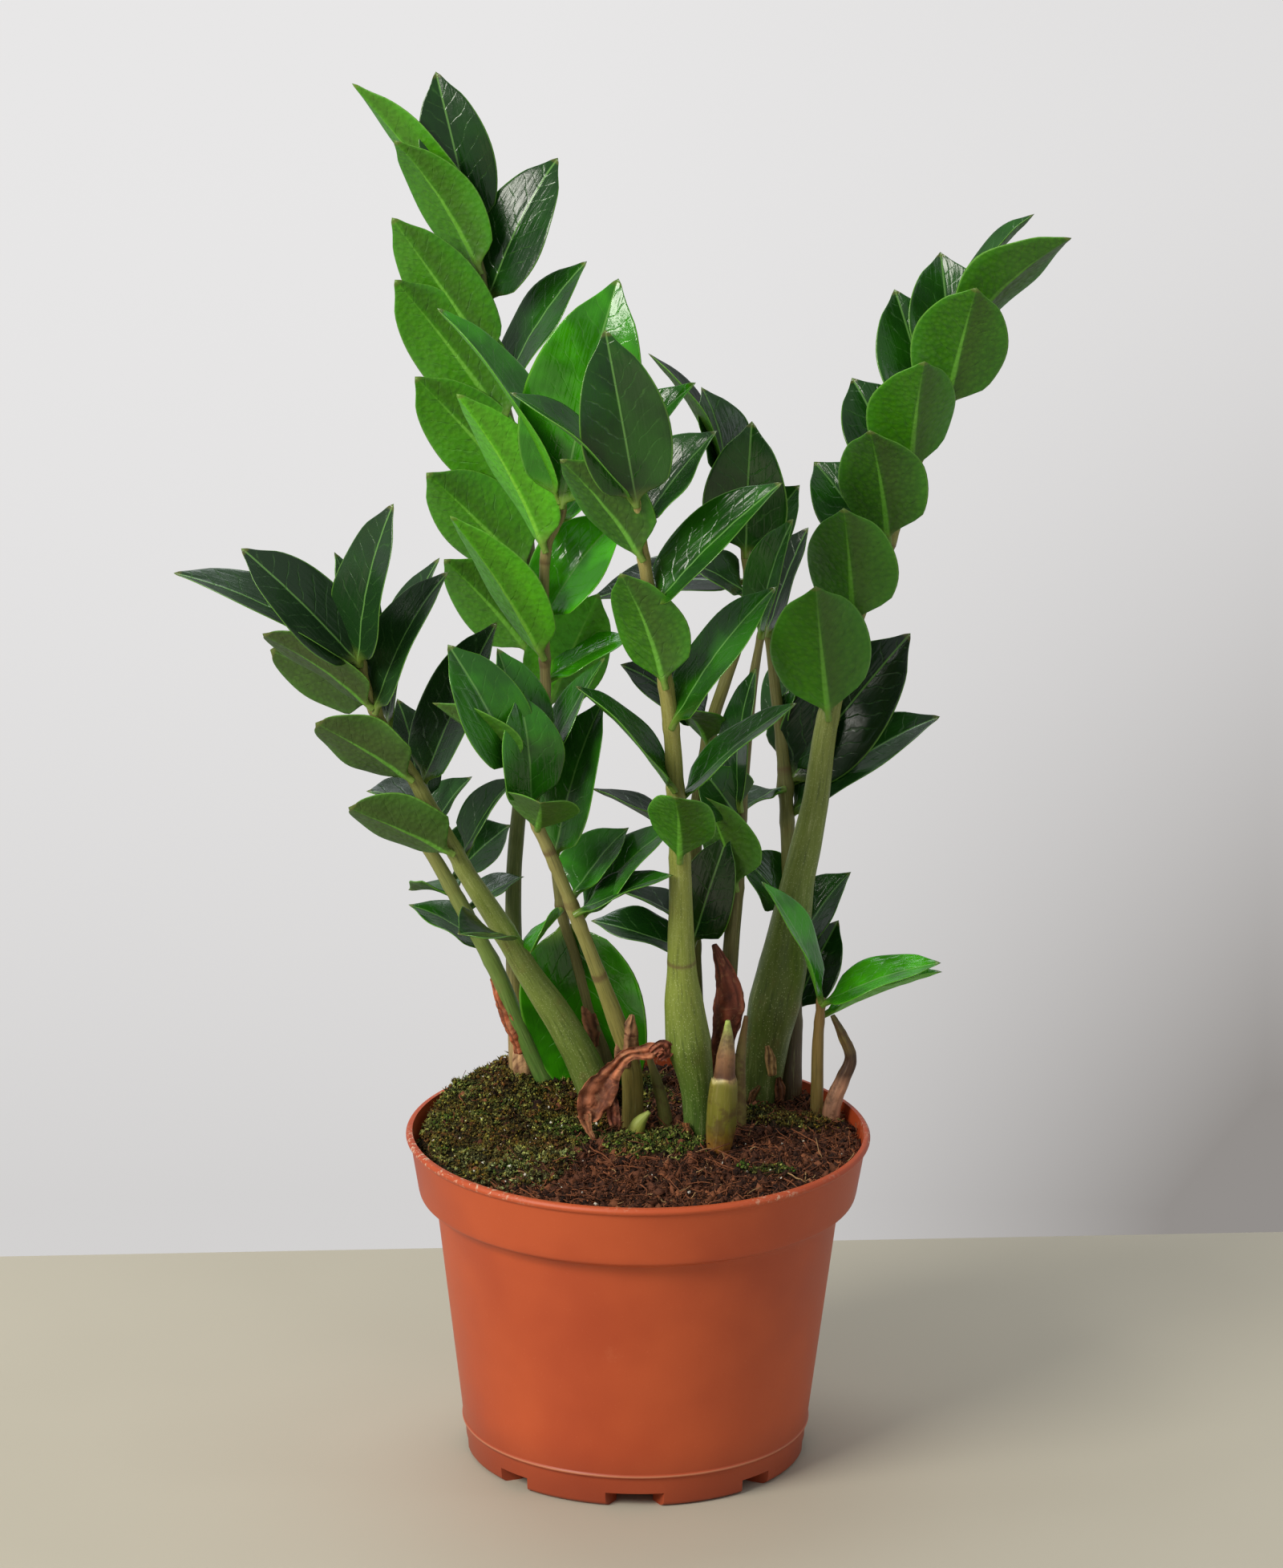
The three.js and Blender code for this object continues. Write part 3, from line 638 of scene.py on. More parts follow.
def leaf_veins(look, at, mm_along, from_rib, from_edge, mottle):
    """Faint side veins that sweep towards the leaf's tip and fade at its margin."""
    sway = look.times(look.noise(0.11, at=at), 9)
    swept = look.maths("SUBTRACT", mm_along, look.times(from_rib, 1.05))
    row = look.maths("FRACT", look.maths("DIVIDE", look.maths("ADD", swept, sway), VEIN_SPACING))
    vein = look.spread(look.maths("ABSOLUTE", look.maths("SUBTRACT", row, 0.5)), 0.0, 0.09, 1.0, 0.0)
    vein = look.times(vein, look.spread(from_edge, 0.06, 0.4))
    return look.times(vein, look.spread(mottle, 0.4, 0.6, 0.2, 1.0))


def leaf_marks(look):
    """How much of each marking a point of a leaf has. The mesh carries leaf (across from -1 to 1, along from
    0 to 1, upper side 1 and under side -1), spot (mm across and along the blade, and the leaf's own number)
    and tone (how bright its upper and its under side are, and how dull it is)."""
    mark = SimpleNamespace()
    across, along, face = look.parts(look.carried("leaf"))
    mark.spot = look.parts(look.carried("spot"))
    mm_across, mm_along, own = mark.spot
    mark.upper_tone, mark.under_tone, mark.dull = look.parts(look.carried("tone"))
    mark.along, mark.upper = along, look.spread(face, -0.4, 0.4)
    from_rib = look.maths("ABSOLUTE", mm_across)
    from_edge = look.maths("SUBTRACT", 1, look.maths("ABSOLUTE", across))
    at = look.vector(mm_across, mm_along, look.times(own, 90))
    mark.cloud = look.noise(0.07, at=at)
    mark.mottle = look.noise(0.42, 4, 0.62, at=at)
    mark.cell = look.specks(0.5, at)
    mark.vein = leaf_veins(look, at, mm_along, from_rib, from_edge, mark.mottle)
    rib_width = look.spread(along, 0.05, 0.85, 1.5, 0.4)
    rib = look.spread(look.maths("DIVIDE", from_rib, rib_width), 0.35, 1.0, 1.0, 0.0)
    mark.rib = look.times(rib, look.spread(along, 0.55, 0.92, 1.0, 0.25))
    mark.thin_rib = look.spread(from_rib, 0.15, 0.5, 1.0, 0.0)
    # painted shade of the fold: a duller olive band on one side of the midrib, underneath
    mark.beside_rib = look.times(look.spread(mm_across, -0.5, 2.5), look.spread(from_rib, 11, 2))
    mark.margin = look.spread(from_edge, 0.012, 0.05, 1.0, 0.0)
    mark.rim = look.spread(from_edge, 0.05, 0.34, 1.0, 0.0)
    return mark


def leaf_colour(look, mark):
    """Dark clouded green on top, and brighter and marbled underneath."""
    top = look.layers(
        look.blend(mark.upper_tone, rgba((5, 34, 6)), rgba((64, 164, 6))),
        (look.spread(mark.cloud, 0.35, 0.65, 0, 0.5), (6, 30, 10)),
        (look.times(mark.vein, 0.16), (96, 160, 66)),
        (look.times(mark.dull, 0.14), (66, 98, 62)),
        (look.times(mark.thin_rib, 0.6), (116, 170, 84)),
    )
    under = look.layers(
        look.blend(mark.under_tone, rgba((32, 82, 0)), rgba((94, 196, 0))),
        (look.spread(mark.mottle, 0.42, 0.72, 0, 0.32), (24, 62, 6)),
        (look.spread(mark.cell, 0.7, 0.15, 0, 0.2), (92, 160, 12)),
        # painted shade of the fold beside the midrib
        (look.times(mark.beside_rib, 0.4), (50, 64, 4)),
        (look.times(mark.rim, 0.35), (62, 150, 6)),
        (look.times(mark.vein, 0.14), (20, 60, 10)),
        (look.times(mark.dull, 0.6), (62, 74, 28)),
    )
    rib_colour = look.blend(mark.under_tone, rgba((92, 158, 46)), rgba((132, 204, 60)))
    under = look.blend(look.times(mark.rib, 0.85), under, rib_colour)
    return look.layers(
        look.blend(mark.upper, under, top),
        (look.times(mark.margin, 0.5), (116, 176, 58)),
        (look.spread(mark.along, 0.14, 0.03, 0, 0.8), (112, 136, 54)),
        (look.spread(mark.along, 0.975, 0.995, 0, 0.5), (112, 116, 56)),
    )


def leaf_look():
    """A waxy leaflet: glossy on top, duller and quilted underneath."""
    look = Look("Leaf")
    mark = leaf_marks(look)
    glossy = look.spread(mark.upper_tone, 0.0, 0.9, 0.15, 0.06)
    gloss = look.maths("MULTIPLY_ADD", mark.mottle, 0.1, glossy)
    matte = look.spread(mark.mottle, 0.3, 0.75, 0.42, 0.58)
    shine = look.maths("MULTIPLY_ADD", look.maths("SUBTRACT", gloss, matte), mark.upper, matte)
    roughness = look.maths("MULTIPLY_ADD", mark.dull, 0.1, shine)
    look.set(Base_Color=leaf_colour(look, mark), Roughness=roughness)
    wrinkle = look.noise(0.6, distortion=0.4, at=look.stretched(mark.spot, (1.1, 0.14, 50)))
    under_share = look.maths("SUBTRACT", 1, mark.upper)
    quilt = look.maths("MULTIPLY_ADD", mark.cell, under_share, look.times(wrinkle, mark.upper))
    height = look.maths("MULTIPLY_ADD", mark.vein, -0.4, look.times(quilt, 0.9))
    look.bump(look.maths("MULTIPLY_ADD", mark.mottle, 0.3, height), 0.32, 0.8)
    return look.material


def stem_look():
    """A fleshy stem. Its mesh carries stem (cosine and sine round it, and mm along it), tint, its colour,
    and marks (1 on a brown ring, and how speckled it is)."""
    look = Look("Stem", specular=0.4)
    around = look.parts(look.carried("stem"))
    ring, speckled, _ = look.parts(look.carried("marks"))
    streak = look.noise(2.2, 4, 0.7, at=look.stretched(around, (2.6, 2.6, 0.035)))
    blotch = look.noise(90, 4, 0.6)
    speck = look.spread(look.specks(2.4, look.stretched(around, (5, 5, 0.34))), 0.12, 0.24, 1.0, 0.0)
    frayed = look.maths("MULTIPLY_ADD", blotch, 0.9, look.times(ring, 0.75))
    colour = look.layers(
        look.carried("tint"),
        (look.spread(streak, 0.52, 0.75, 0, 0.5), (170, 176, 118)),
        (look.spread(streak, 0.52, 0.28, 0, 0.55), (50, 66, 28)),
        (look.spread(blotch, 0.55, 0.75, 0, 0.35), (120, 96, 52)),
        (look.times(speck, look.times(speckled, 0.7)), (190, 200, 140)),
        (look.spread(frayed, 0.75, 1.15, 0, 0.75), (104, 82, 52)),
    )
    look.set(Base_Color=colour, Roughness=look.spread(blotch, 0.3, 0.7, 0.36, 0.56))
    look.bump(look.maths("MULTIPLY_ADD", ring, -0.5, look.times(streak, 0.7)), 0.3, 0.7)
    return look.material


def papery_look():
    """Dry sheaths and leaves. The mesh carries tint, its colour."""
    look = Look("Papery", specular=0.25)
    fibre = look.noise(260, 5, 0.7, 0.8)
    vein = look.noise(90, 3, 0.6, 1.5)
    colour = look.layers(
        look.carried("tint"),
        (look.spread(fibre, 0.5, 0.75, 0, 0.6), DRY_PALE),
        (look.spread(vein, 0.53, 0.32, 0, 0.85), DRY_DARK),
    )
    look.set(Base_Color=colour, Roughness=look.spread(fibre, 0.3, 0.7, 0.5, 0.75))
    look.bump(look.maths("MULTIPLY_ADD", vein, 1.2, fibre), 0.5, 0.9)
    return look.material


def sprout_look():
    """Fleshy shoots. The mesh carries tint, its colour, and stem (round it, and mm along it)."""
    look = Look("Sprout", specular=0.4)
    round_x, round_y, along = look.parts(look.carried("stem"))
    streak = look.noise(5, 4, 0.65, at=look.vector(round_x, round_y, look.times(along, 0.02)))
    blotch = look.noise(150, 4, 0.65)
    colour = look.layers(
        look.carried("tint"),
        (look.spread(streak, 0.5, 0.75, 0, 0.2), (180, 158, 104)),
        (look.spread(blotch, 0.52, 0.36, 0, 0.6), (78, 52, 32)),
    )
    look.set(Base_Color=colour, Roughness=look.spread(streak, 0.3, 0.7, 0.42, 0.6))
    look.bump(look.maths("MULTIPLY_ADD", streak, 1.0, blotch), 0.25, 0.7)
    return look.material


def pot_look():
    """Satin moulded plastic, a little mottled, with lime on its rim and a foot that is darker."""
    look = Look("Pot_plastic", specular=0.42)
    height = look.parts(look.place())[2]
    cloud = look.noise(16, 3, 0.55)
    grain = look.noise(900, 3, 0.6)
    on_rim = look.spread(height, (POT_HEIGHT - 3.2) * MM, (POT_HEIGHT - 0.8) * MM)
    lime = look.spread(look.noise(520, 3, 0.7), 0.53, 0.62)
    lime = look.times(lime, look.spread(look.noise(24, 1), 0.46, 0.6))
    scuff = look.spread(look.noise(60, 5, 0.75), 0.62, 0.8, 0, 0.16)
    # a thin pale line along the foot ring's edge follows: a painted highlight
    off_ring = look.maths("ABSOLUTE", look.maths("SUBTRACT", height, (FOOT_RING_HEIGHT - 0.2) * MM))
    colour = look.layers(
        look.blend(look.spread(cloud, 0.3, 0.7), rgba(TERRACOTTA_DEEP), rgba(TERRACOTTA)),
        (look.spread(grain, 0.6, 0.8, 0, 0.12), (222, 132, 92)),
        (look.times(lime, on_rim), MINERAL),
        (scuff, (206, 122, 84)),
        # painted highlight along the foot ring's edge
        (look.spread(off_ring, 0.2 * MM, 0.5 * MM, 0.55, 0.0), (226, 158, 118)),
        (look.spread(height, 0.0, 2.2 * FOOT_RING_HEIGHT * MM, 0.5, 0.0), (112, 46, 28)),
    )
    look.set(Base_Color=colour, Roughness=look.spread(cloud, 0.3, 0.7, 0.4, 0.5))
    look.bump(look.maths("MULTIPLY_ADD", cloud, 2.0, grain), 0.06, 0.6)
    return look.material


def ground_look(name, lightest):
    """Peat, moss or grit. The mesh carries tint, its colour."""
    look = Look(name, roughness=0.85, specular=0.2)
    fine = look.noise(1400, 3, 0.7)
    colour = look.layers(
        look.carried("tint"),
        (look.spread(fine, 0.5, 0.8, 0, 0.5), lightest),
        (look.spread(fine, 0.5, 0.25, 0, 0.6), (14, 10, 6)),
    )
    look.set(Base_Color=colour)
    look.bump(fine, 0.3, 0.8)
    return look.material


# ---- Pot ----

POT_SIDES = 176
POT_EDGE_ANGLE = 32  # degrees: sharper edges stay sharp


def rounded(profile, reach, steps=4):
    """The profile with its corners rounded, starting at most reach before each corner."""
    path = [np.array(point, float) for point in profile]
    points = [path[0]]
    for before, corner, after in zip(path, path[1:], path[2:]):
        back, ahead = before - corner, after - corner
        room = min(reach, 0.4 * np.linalg.norm(back), 0.4 * np.linalg.norm(ahead))
        start, end = corner + unit(back) * room, corner + unit(ahead) * room
        for w in np.linspace(0, 1, steps + 1):
            points.append((1 - w) ** 2 * start + 2 * w * (1 - w) * corner + w**2 * end)
    return points + [path[-1]]


def level_rings(plan, profile):
    """Level rings of points, the plan enlarged to each (radius, height) of a profile."""
    return np.array([np.column_stack([plan * r, np.full(len(plan), z)]) for r, z in profile])


def turned(profile, sides):
    """A closed solid of a profile of (radius, height) turned about Z, from its first to its last point."""
    rings = level_rings(circle(sides), profile[1:-1])
    return skin(rings, [0, 0, profile[0][1]], [0, 0, profile[-1][1]])


def outside_profile():
    return [
        (0, 0),
        (FOOT_RADIUS, 0),
        (FOOT_RADIUS + 1.8, 1.2),
        (FOOT_RING_RADIUS - 0.9, FOOT_RING_HEIGHT - 1.6),
        (FOOT_RING_RADIUS + 0.25, FOOT_RING_HEIGHT - 0.5),
        (FOOT_RING_RADIUS + 0.25, FOOT_RING_HEIGHT),
        (FOOT_RING_RADIUS - 0.2, FOOT_RING_HEIGHT + 0.5),
        (NECK_RADIUS, COLLAR_BOTTOM - 6),
        (NECK_RADIUS + 1, COLLAR_BOTTOM - 3.2),
        (COLLAR_RADIUS - 2.4, COLLAR_BOTTOM - 2),
        (COLLAR_RADIUS - 0.5, COLLAR_BOTTOM - 0.9),
        (COLLAR_RADIUS, COLLAR_BOTTOM + 1),
        (RIM_RADIUS - 1.7, POT_HEIGHT - 3),
        (RIM_RADIUS - 0.5, POT_HEIGHT - 2.4),
        (RIM_RADIUS, POT_HEIGHT - 1.3),
        (RIM_RADIUS - 0.8, POT_HEIGHT),
        (0, POT_HEIGHT),
    ]


def inside_radius(level):
    """The radius of the wall's inner side above the collar's shelf."""
    shelf = COLLAR_BOTTOM + 2
    slope = (RIM_INSIDE - COLLAR_RADIUS + WALL) / (POT_HEIGHT - shelf)
    return RIM_INSIDE - slope * (POT_HEIGHT - level)


def inside_profile(floor, top):
    return [
        (0, floor),
        (FOOT_RADIUS - WALL, floor),
        (FOOT_RING_RADIUS - WALL - 0.6, FOOT_RING_HEIGHT),
        (NECK_RADIUS - WALL, COLLAR_BOTTOM - 5),
        (NECK_RADIUS - WALL + 0.9, COLLAR_BOTTOM - 1.6),
        (COLLAR_RADIUS - WALL, COLLAR_BOTTOM + 2),
        (inside_radius(top), top),
        (0, top),
    ]


def prism(outline, low, high):
    """A closed upright solid on an outline that turns to the left."""
    plan = np.array(outline, float)
    count = len(plan)
    points = np.vstack([np.column_stack([plan, np.full(count, z)]) for z in (low, high)])
    sides = [(i, (i + 1) % count, (i + 1) % count + count, i + count) for i in range(count)]
    return points, [list(range(count))[::-1], list(range(count, 2 * count)), *sides]


def channel(kind, grow, angle):
    """A drainage channel under the pot: a strip with a round inner end and a flared mouth."""
    half, mouth = kind[0] + grow, kind[1] + grow
    turn = np.linspace(math.pi / 2, 3 * math.pi / 2, 9)
    inner = [(CHANNEL_INNER_END + half * math.cos(a), half * math.sin(a)) for a in turn]
    cheek, wall, past = FOOT_RING_RADIUS - CHEEK_DEPTH, FOOT_RING_RADIUS, FOOT_RING_RADIUS + 8
    outer = [(cheek, -half), (wall, -mouth), (past, -mouth), (past, mouth), (wall, mouth), (cheek, half)]
    points, faces = prism(inner + outer, -5, CHANNEL_HEIGHT + grow)
    return turn_about_z(points, angle), faces


def turn_about_z(points, angle):
    return points @ np.array(Matrix.Rotation(angle, 3, "Z")).T


def channels(grow):
    """All the channels as one form."""
    form = Form()
    for i in range(CHANNEL_COUNT):
        kind = NARROW_CHANNEL if i % 2 else WIDE_CHANNEL
        form.add(*channel(kind, grow, i * 2 * math.pi / CHANNEL_COUNT))
    return form


def drain_holes():
    form = Form()
    angles = np.linspace(0, 2 * math.pi, 24, endpoint=False)
    plan = np.column_stack([np.cos(angles), np.sin(angles)]) * DRAIN_RADIUS + [DRAIN_DISTANCE, 0]
    points, faces = prism(plan, CHANNEL_HEIGHT - 4, CHANNEL_HEIGHT + 4)
    for i in range(CHANNEL_COUNT // 2):
        form.add(turn_about_z(points, i * 4 * math.pi / CHANNEL_COUNT), faces)
    return form


def loose(form):
    """A form as an object that only serves to cut another, or to be cut."""
    return add_object("cutter", form.mesh("cutter"))


def cut(body, tools):
    """The mesh of an object with others cut away. The objects are used up."""
    for tool in tools:
        modifier = body.modifiers.new("cut", "BOOLEAN")
        modifier.operation = "DIFFERENCE"
        modifier.solver = "EXACT"
        modifier.object = tool
    graph = bpy.context.evaluated_depsgraph_get()
    mesh = bpy.data.meshes.new_from_object(body.evaluated_get(graph))
    for used in [body, *tools]:
        bpy.data.objects.remove(used)
    return mesh


def turned_body(profile, reach):
    """A turned solid with rounded corners, to be cut."""
    form = Form()
    form.add(*turned(rounded(profile, reach), POT_SIDES))
    return loose(form)


def make_pot():
    cavity = turned_body(inside_profile(WALL, POT_HEIGHT + 1), 1.2)
    hollow = add_object("hollow", cut(cavity, [loose(channels(WALL))]))
    body = turned_body(outside_profile(), 0.9)
    mesh = cut(body, [hollow, loose(channels(0)), loose(drain_holes())])
    pot = finish_piece(mesh, "pot_fine", pot_look())
    mesh.set_sharp_from_angle(angle=math.radians(POT_EDGE_ANGLE))
    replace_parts(pot, "pot")


# ---- Soil and moss ----

SOIL_SIDES = 260
MOSS_SPACING = 1.45  # between rosettes
FIBRE_SPACING = 1.75
LUMP_SPACING = 2.1
CRUMB_SPACING = 1.25
PERLITE_SPACING = 8
MOSS_PATCHES = [  # x, y, half width, half depth
    (-52, 8, 40, 62),
    (-30, 42, 46, 34),
    (-60, -30, 26, 26),
    (6, -17, 21, 12),
    (54, 16, 21, 11),
    (46, -38, 10, 4),
]
MOSS_THICKNESS = 1.4
CUSHION = 11  # how far apart the creases between the moss's cushions are
TOP_RADIUS = inside_radius(SOIL_EDGE_LEVEL) - GAP


def moss_share(x, y):
    """1 where moss covers the soil, 0 where peat is bare."""
    ragged = 0.3 * rough(np.stack([x, y, np.zeros_like(x)], axis=-1), 9, 3.7)
    share = np.zeros_like(x)
    for cx, cy, half_width, half_depth in MOSS_PATCHES:
        away = np.hypot((x - cx) / half_width, (y - cy) / half_depth) + ragged
        share = np.maximum(share, 1 - smooth(away, 0.82, 1.08))
    return share


def ground(x, y):
    """The level of the soil's surface, moss included."""
    mound_x, mound_y, rise, spread = MOSS_MOUND
    crown = SOIL_CROWN * np.maximum(0, 1 - (x**2 + y**2) / SOIL_CROWN_RADIUS**2)
    mound = rise * np.exp(-((x - mound_x) ** 2 + (y - mound_y) ** 2) / spread**2)
    lumps = SOIL_LUMPS * np.sin(x * 0.31 + 1) * np.sin(y * 0.27 + 2)
    spot = np.stack([x, y, np.zeros_like(x)], axis=-1)
    crumbs = 1.3 * rough(spot, 7.5) + 0.9 * rough(spot, 2.8) + 0.3 * rough(spot, 1.3)
    moss = moss_share(x, y)
    cushions = 3.4 * np.abs(rough(spot, CUSHION, 2.2)) * moss
    radius = np.hypot(x, y)
    leftness = smooth(-x / np.maximum(radius, 1), 0.55, 0.95)
    edge_gap = 6 * leftness * smooth(radius, TOP_RADIUS - 4.5, TOP_RADIUS - 0.5)
    level = SOIL_EDGE_LEVEL + crown + mound + lumps + crumbs * (1 - 0.5 * moss)
    level = level + MOSS_THICKNESS * moss + cushions
    return level - edge_gap - 0.8 * smooth(radius, TOP_RADIUS - 6, TOP_RADIUS)


def make_soil():
    """The body of peat: a fine surface on a plain block that fills the pot."""
    plan = circle(SOIL_SIDES)
    radii = np.linspace(0, TOP_RADIUS, 88)[1:, None]
    x, y = radii * plan[:, 0], radii * plan[:, 1]
    top = np.stack([x, y, ground(x, y)], axis=-1)
    floor = CHANNEL_HEIGHT + WALL + GAP
    wall = inside_profile(floor, SOIL_EDGE_LEVEL)[1:6]
    below = level_rings(plan, [(radius - GAP, z) for radius, z in wall])
    rings = np.concatenate([below, top[::-1]])
    centre = [0, 0, float(ground(np.zeros(1), np.zeros(1))[0])]
    points, faces = skin(rings, [0, 0, floor], centre)
    dark = smooth(rough(points, 5, 1.3), -0.5, 0.6)[:, None]
    peat = mix(linear(PEAT_DARK), linear(PEAT), dark)
    covered = moss_share(points[:, 0], points[:, 1])[:, None]
    form = Form("tint")
    form.add(points, faces, tint=mix(peat, linear(MOSS_DEEP), covered))
    soil = form.build("soil_fine", ground_look("Peat", BARK), "soil")
    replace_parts(soil, "soil")


def scattered(random, spacing, wanted):
    """Jittered spots on the soil, kept with the chance that wanted(x, y) gives, and clear of the stems."""
    steps = np.arange(-TOP_RADIUS, TOP_RADIUS, spacing)
    x, y = (part.ravel() for part in np.meshgrid(steps, steps))
    x = x + random.uniform(-0.5, 0.5, x.shape) * spacing
    y = y + random.uniform(-0.5, 0.5, y.shape) * spacing
    keep = (np.hypot(x, y) < TOP_RADIUS - 1.2) & (random.random(x.shape) < wanted(x, y))
    stems = [frond["stem"] for frond in FRONDS.values()]
    for stem in [*stems, *SHOOTS.values()]:
        foot_x, foot_y, _, radius = stem[1]
        keep &= np.hypot(x - foot_x, y - foot_y) > radius + 0.4
    x, y = x[keep], y[keep]
    return np.stack([x, y, ground(x, y)], axis=-1)


def random_directions(random, count, upwards):
    """Unit vectors that lean up the more, the larger upwards is."""
    directions = random.normal(size=(count, 3)) + [0, 0, upwards]
    directions[:, 2] = np.abs(directions[:, 2])
    return unit(directions)


def three_sides(centres, along, leaning, widths):
    """Points on three sides of centres, across the way along."""
    side = unit(np.cross(along, leaning))
    other = np.cross(along, side)
    turns = [0, 2 * math.pi / 3, 4 * math.pi / 3]
    return [centres + widths * (side * math.cos(a) + other * math.sin(a)) for a in turns]


def copies(pattern, count, size):
    """The faces of a pattern for each of count groups of size points."""
    return (np.arange(count)[:, None, None] * size + np.array(pattern)).reshape(-1, 3).tolist()


def add_spikes(form, feet, directions, lengths, widths, foot_tint, tip_tint):
    """Closed three-sided points, dark at the foot and lighter at the tip."""
    corners = three_sides(feet, directions, [0.3, 0.5, 0.81], widths[:, None])
    tips = feet + directions * lengths[:, None]
    points = np.stack([*corners, tips], axis=1)
    faces = copies([(0, 1, 3), (1, 2, 3), (2, 0, 3), (0, 2, 1)], len(feet), 4)
    tint = np.stack([foot_tint, foot_tint, foot_tint, tip_tint], axis=1).reshape(-1, 3)
    form.add(points, faces, tint=tint)


def add_threads(form, lines, widths, tint):
    """Closed three-sided threads along lines of points."""
    count, steps = lines.shape[:2]
    along = unit(np.gradient(lines, axis=1))
    rings = three_sides(lines, along, [0.21, 0.34, 0.92], widths[:, None, None])
    last = 3 * (steps - 1)
    pattern = [(0, 2, 1)]
    for row in range(0, last, 3):
        for a, b in ((0, 1), (1, 2), (2, 0)):
            near, far = (row + a, row + b), (row + b + 3, row + a + 3)
            pattern += [(*near, far[0]), (near[0], *far)]
    pattern.append((last, last + 1, last + 2))
    faces = copies(pattern, count, 3 * steps)
    form.add(np.stack(rings, axis=2), faces, tint=np.repeat(tint, 3 * steps, axis=0))


def add_crumbs(form, random, centres, sizes, tint):
    """Closed eight-sided crumbs of uneven shape."""
    corners = np.array([(1, 0, 0), (-1, 0, 0), (0, 1, 0), (0, -1, 0), (0, 0, 1), (0, 0, -1)], float)
    stretch = random.uniform(0.55, 1.25, (len(centres), 6, 1))
    skew = random.normal(0, 0.25, (len(centres), 6, 3))
    points = centres[:, None] + (corners * stretch + skew) * sizes[:, None, None]
    pattern = [(0, 2, 4), (2, 1, 4), (1, 3, 4), (3, 0, 4), (2, 0, 5), (1, 2, 5), (3, 1, 5), (0, 3, 5)]
    form.add(points, copies(pattern, len(centres), 6), tint=np.repeat(tint, 6, axis=0))


def palette(random, count, *colours):
    """Random mixes of neighbouring colours of a list."""
    place = random.random(count) * (len(colours) - 1)
    low = np.minimum(place.astype(int), len(colours) - 2)
    table = np.array([linear(colour) for colour in colours])
    return mix(table[low], table[low + 1], (place - low)[:, None])


def inside_pot(points):
    """Points drawn in, where needed, to stay clear of the pot's wall."""
    radius = np.hypot(points[..., 0], points[..., 1])
    share = np.minimum(1, (TOP_RADIUS - 0.7) / np.maximum(radius, 1))
    return points * np.stack([share, share, np.ones_like(share)], axis=-1)


def moss_tints(random, spots):
    """Colours of the rosettes' feet and tips: olive, rusty, fresh green in front or frosted. Both are
    darkened in the creases between the cushions, as painted shade."""
    count = len(spots)
    patch = rough(spots, 15, 5.1)
    in_front = 0.7 * smooth(spots[:, 0], -28, -6) * smooth(-spots[:, 1], 2, 12)
    rust = smooth(patch - in_front + random.normal(0, 0.3, count), -0.05, 0.45)[:, None]
    fresh = smooth(in_front - patch + random.normal(0, 0.3, count), 0.2, 0.7)[:, None]
    # painted shade: near 0 in the creases between the cushions, 1 clear of them
    crease = smooth(np.abs(rough(spots * [1, 1, 0], CUSHION, 2.2)), 0.0, 0.16)[:, None]
    tip = palette(random, count, MOSS_DEEP, MOSS_OLIVE, MOSS_OLIVE, MOSS_TIP)
    tip = mix(tip, palette(random, count, MOSS_DEEP, MOSS_RUST, MOSS_OLIVE), rust)
    tip = mix(tip, palette(random, count, MOSS_GREEN, MOSS_GREEN, MOSS_TIP), fresh)
    frosted = smooth(-spots[:, 1], 18, 36) * smooth(-spots[:, 0], 10, 30) * (random.random(count) < 0.28)
    tip = tip * (1 - 0.7 * frosted[:, None]) + linear(MOSS_FROST) * 0.7 * frosted[:, None]
    foot = palette(random, count, MOSS_DEEP, PEAT_DARK) * (0.4 + 0.6 * crease)
    return foot, tip * (0.26 + 0.62 * crease)


def make_moss(random):
    """Cushion moss: rosettes of short pointed leaves, with paler beads and dark gaps between them."""
    spots = scattered(random, MOSS_SPACING, lambda x, y: moss_share(x, y) ** 0.7)
    foot, tip = moss_tints(random, spots)
    count, leaves = len(spots), 5
    form = Form("tint")
    feet = np.repeat(spots + random.normal(0, 0.25, spots.shape) * [1, 1, 2], leaves, axis=0)
    directions = random_directions(random, count * leaves, 0.9)
    lengths = random.uniform(0.9, 2.3, count * leaves)
    widths = random.uniform(0.3, 0.5, count * leaves)
    tips = np.repeat(tip, leaves, 0) * random.uniform(0.45, 1.25, (count * leaves, 1))
    add_spikes(form, inside_pot(feet), directions, lengths, widths, np.repeat(foot, leaves, 0), tips)
    form.build("moss", ground_look("Moss", MOSS_TIP), "soil")

    form = Form("tint")
    beads = np.repeat(spots, 2, axis=0) + random.normal(0, 0.6, (2 * count, 3)) * [1, 1, 0.4] + [0, 0, 0.7]
    tint = np.repeat(tip, 2, 0) * random.uniform(0.25, 1.5, (2 * count, 1)) ** 1.3
    add_crumbs(form, random, inside_pot(beads), random.uniform(0.3, 0.75, 2 * count), tint)
    form.build("moss_beads", ground_look("Moss_beads", MOSS_TIP), "soil")


def curved_lines(random, feet, lengths, steps, flatness):
    """Lines that set off from feet in random directions and curl on their way."""
    count = len(feet)
    heading = random_directions(random, count, 0) * [1, 1, flatness]
    bend = random.normal(0, 0.9, (count, 3)) * [1, 1, flatness]
    kink = random.normal(0, 0.35, (count, steps, 3)) * [1, 1, 0.6]
    share = np.linspace(0, 1, steps)[None, :, None]
    reach = lengths[:, None, None] * share
    lines = feet[:, None] + unit(heading)[:, None] * reach + bend[:, None] * reach * share + kink * share
    return inside_pot(lines)


def bareness(x, y):
    """The chance of loose peat: 1 on bare soil, and little on moss."""
    return 1 - 0.93 * moss_share(x, y)


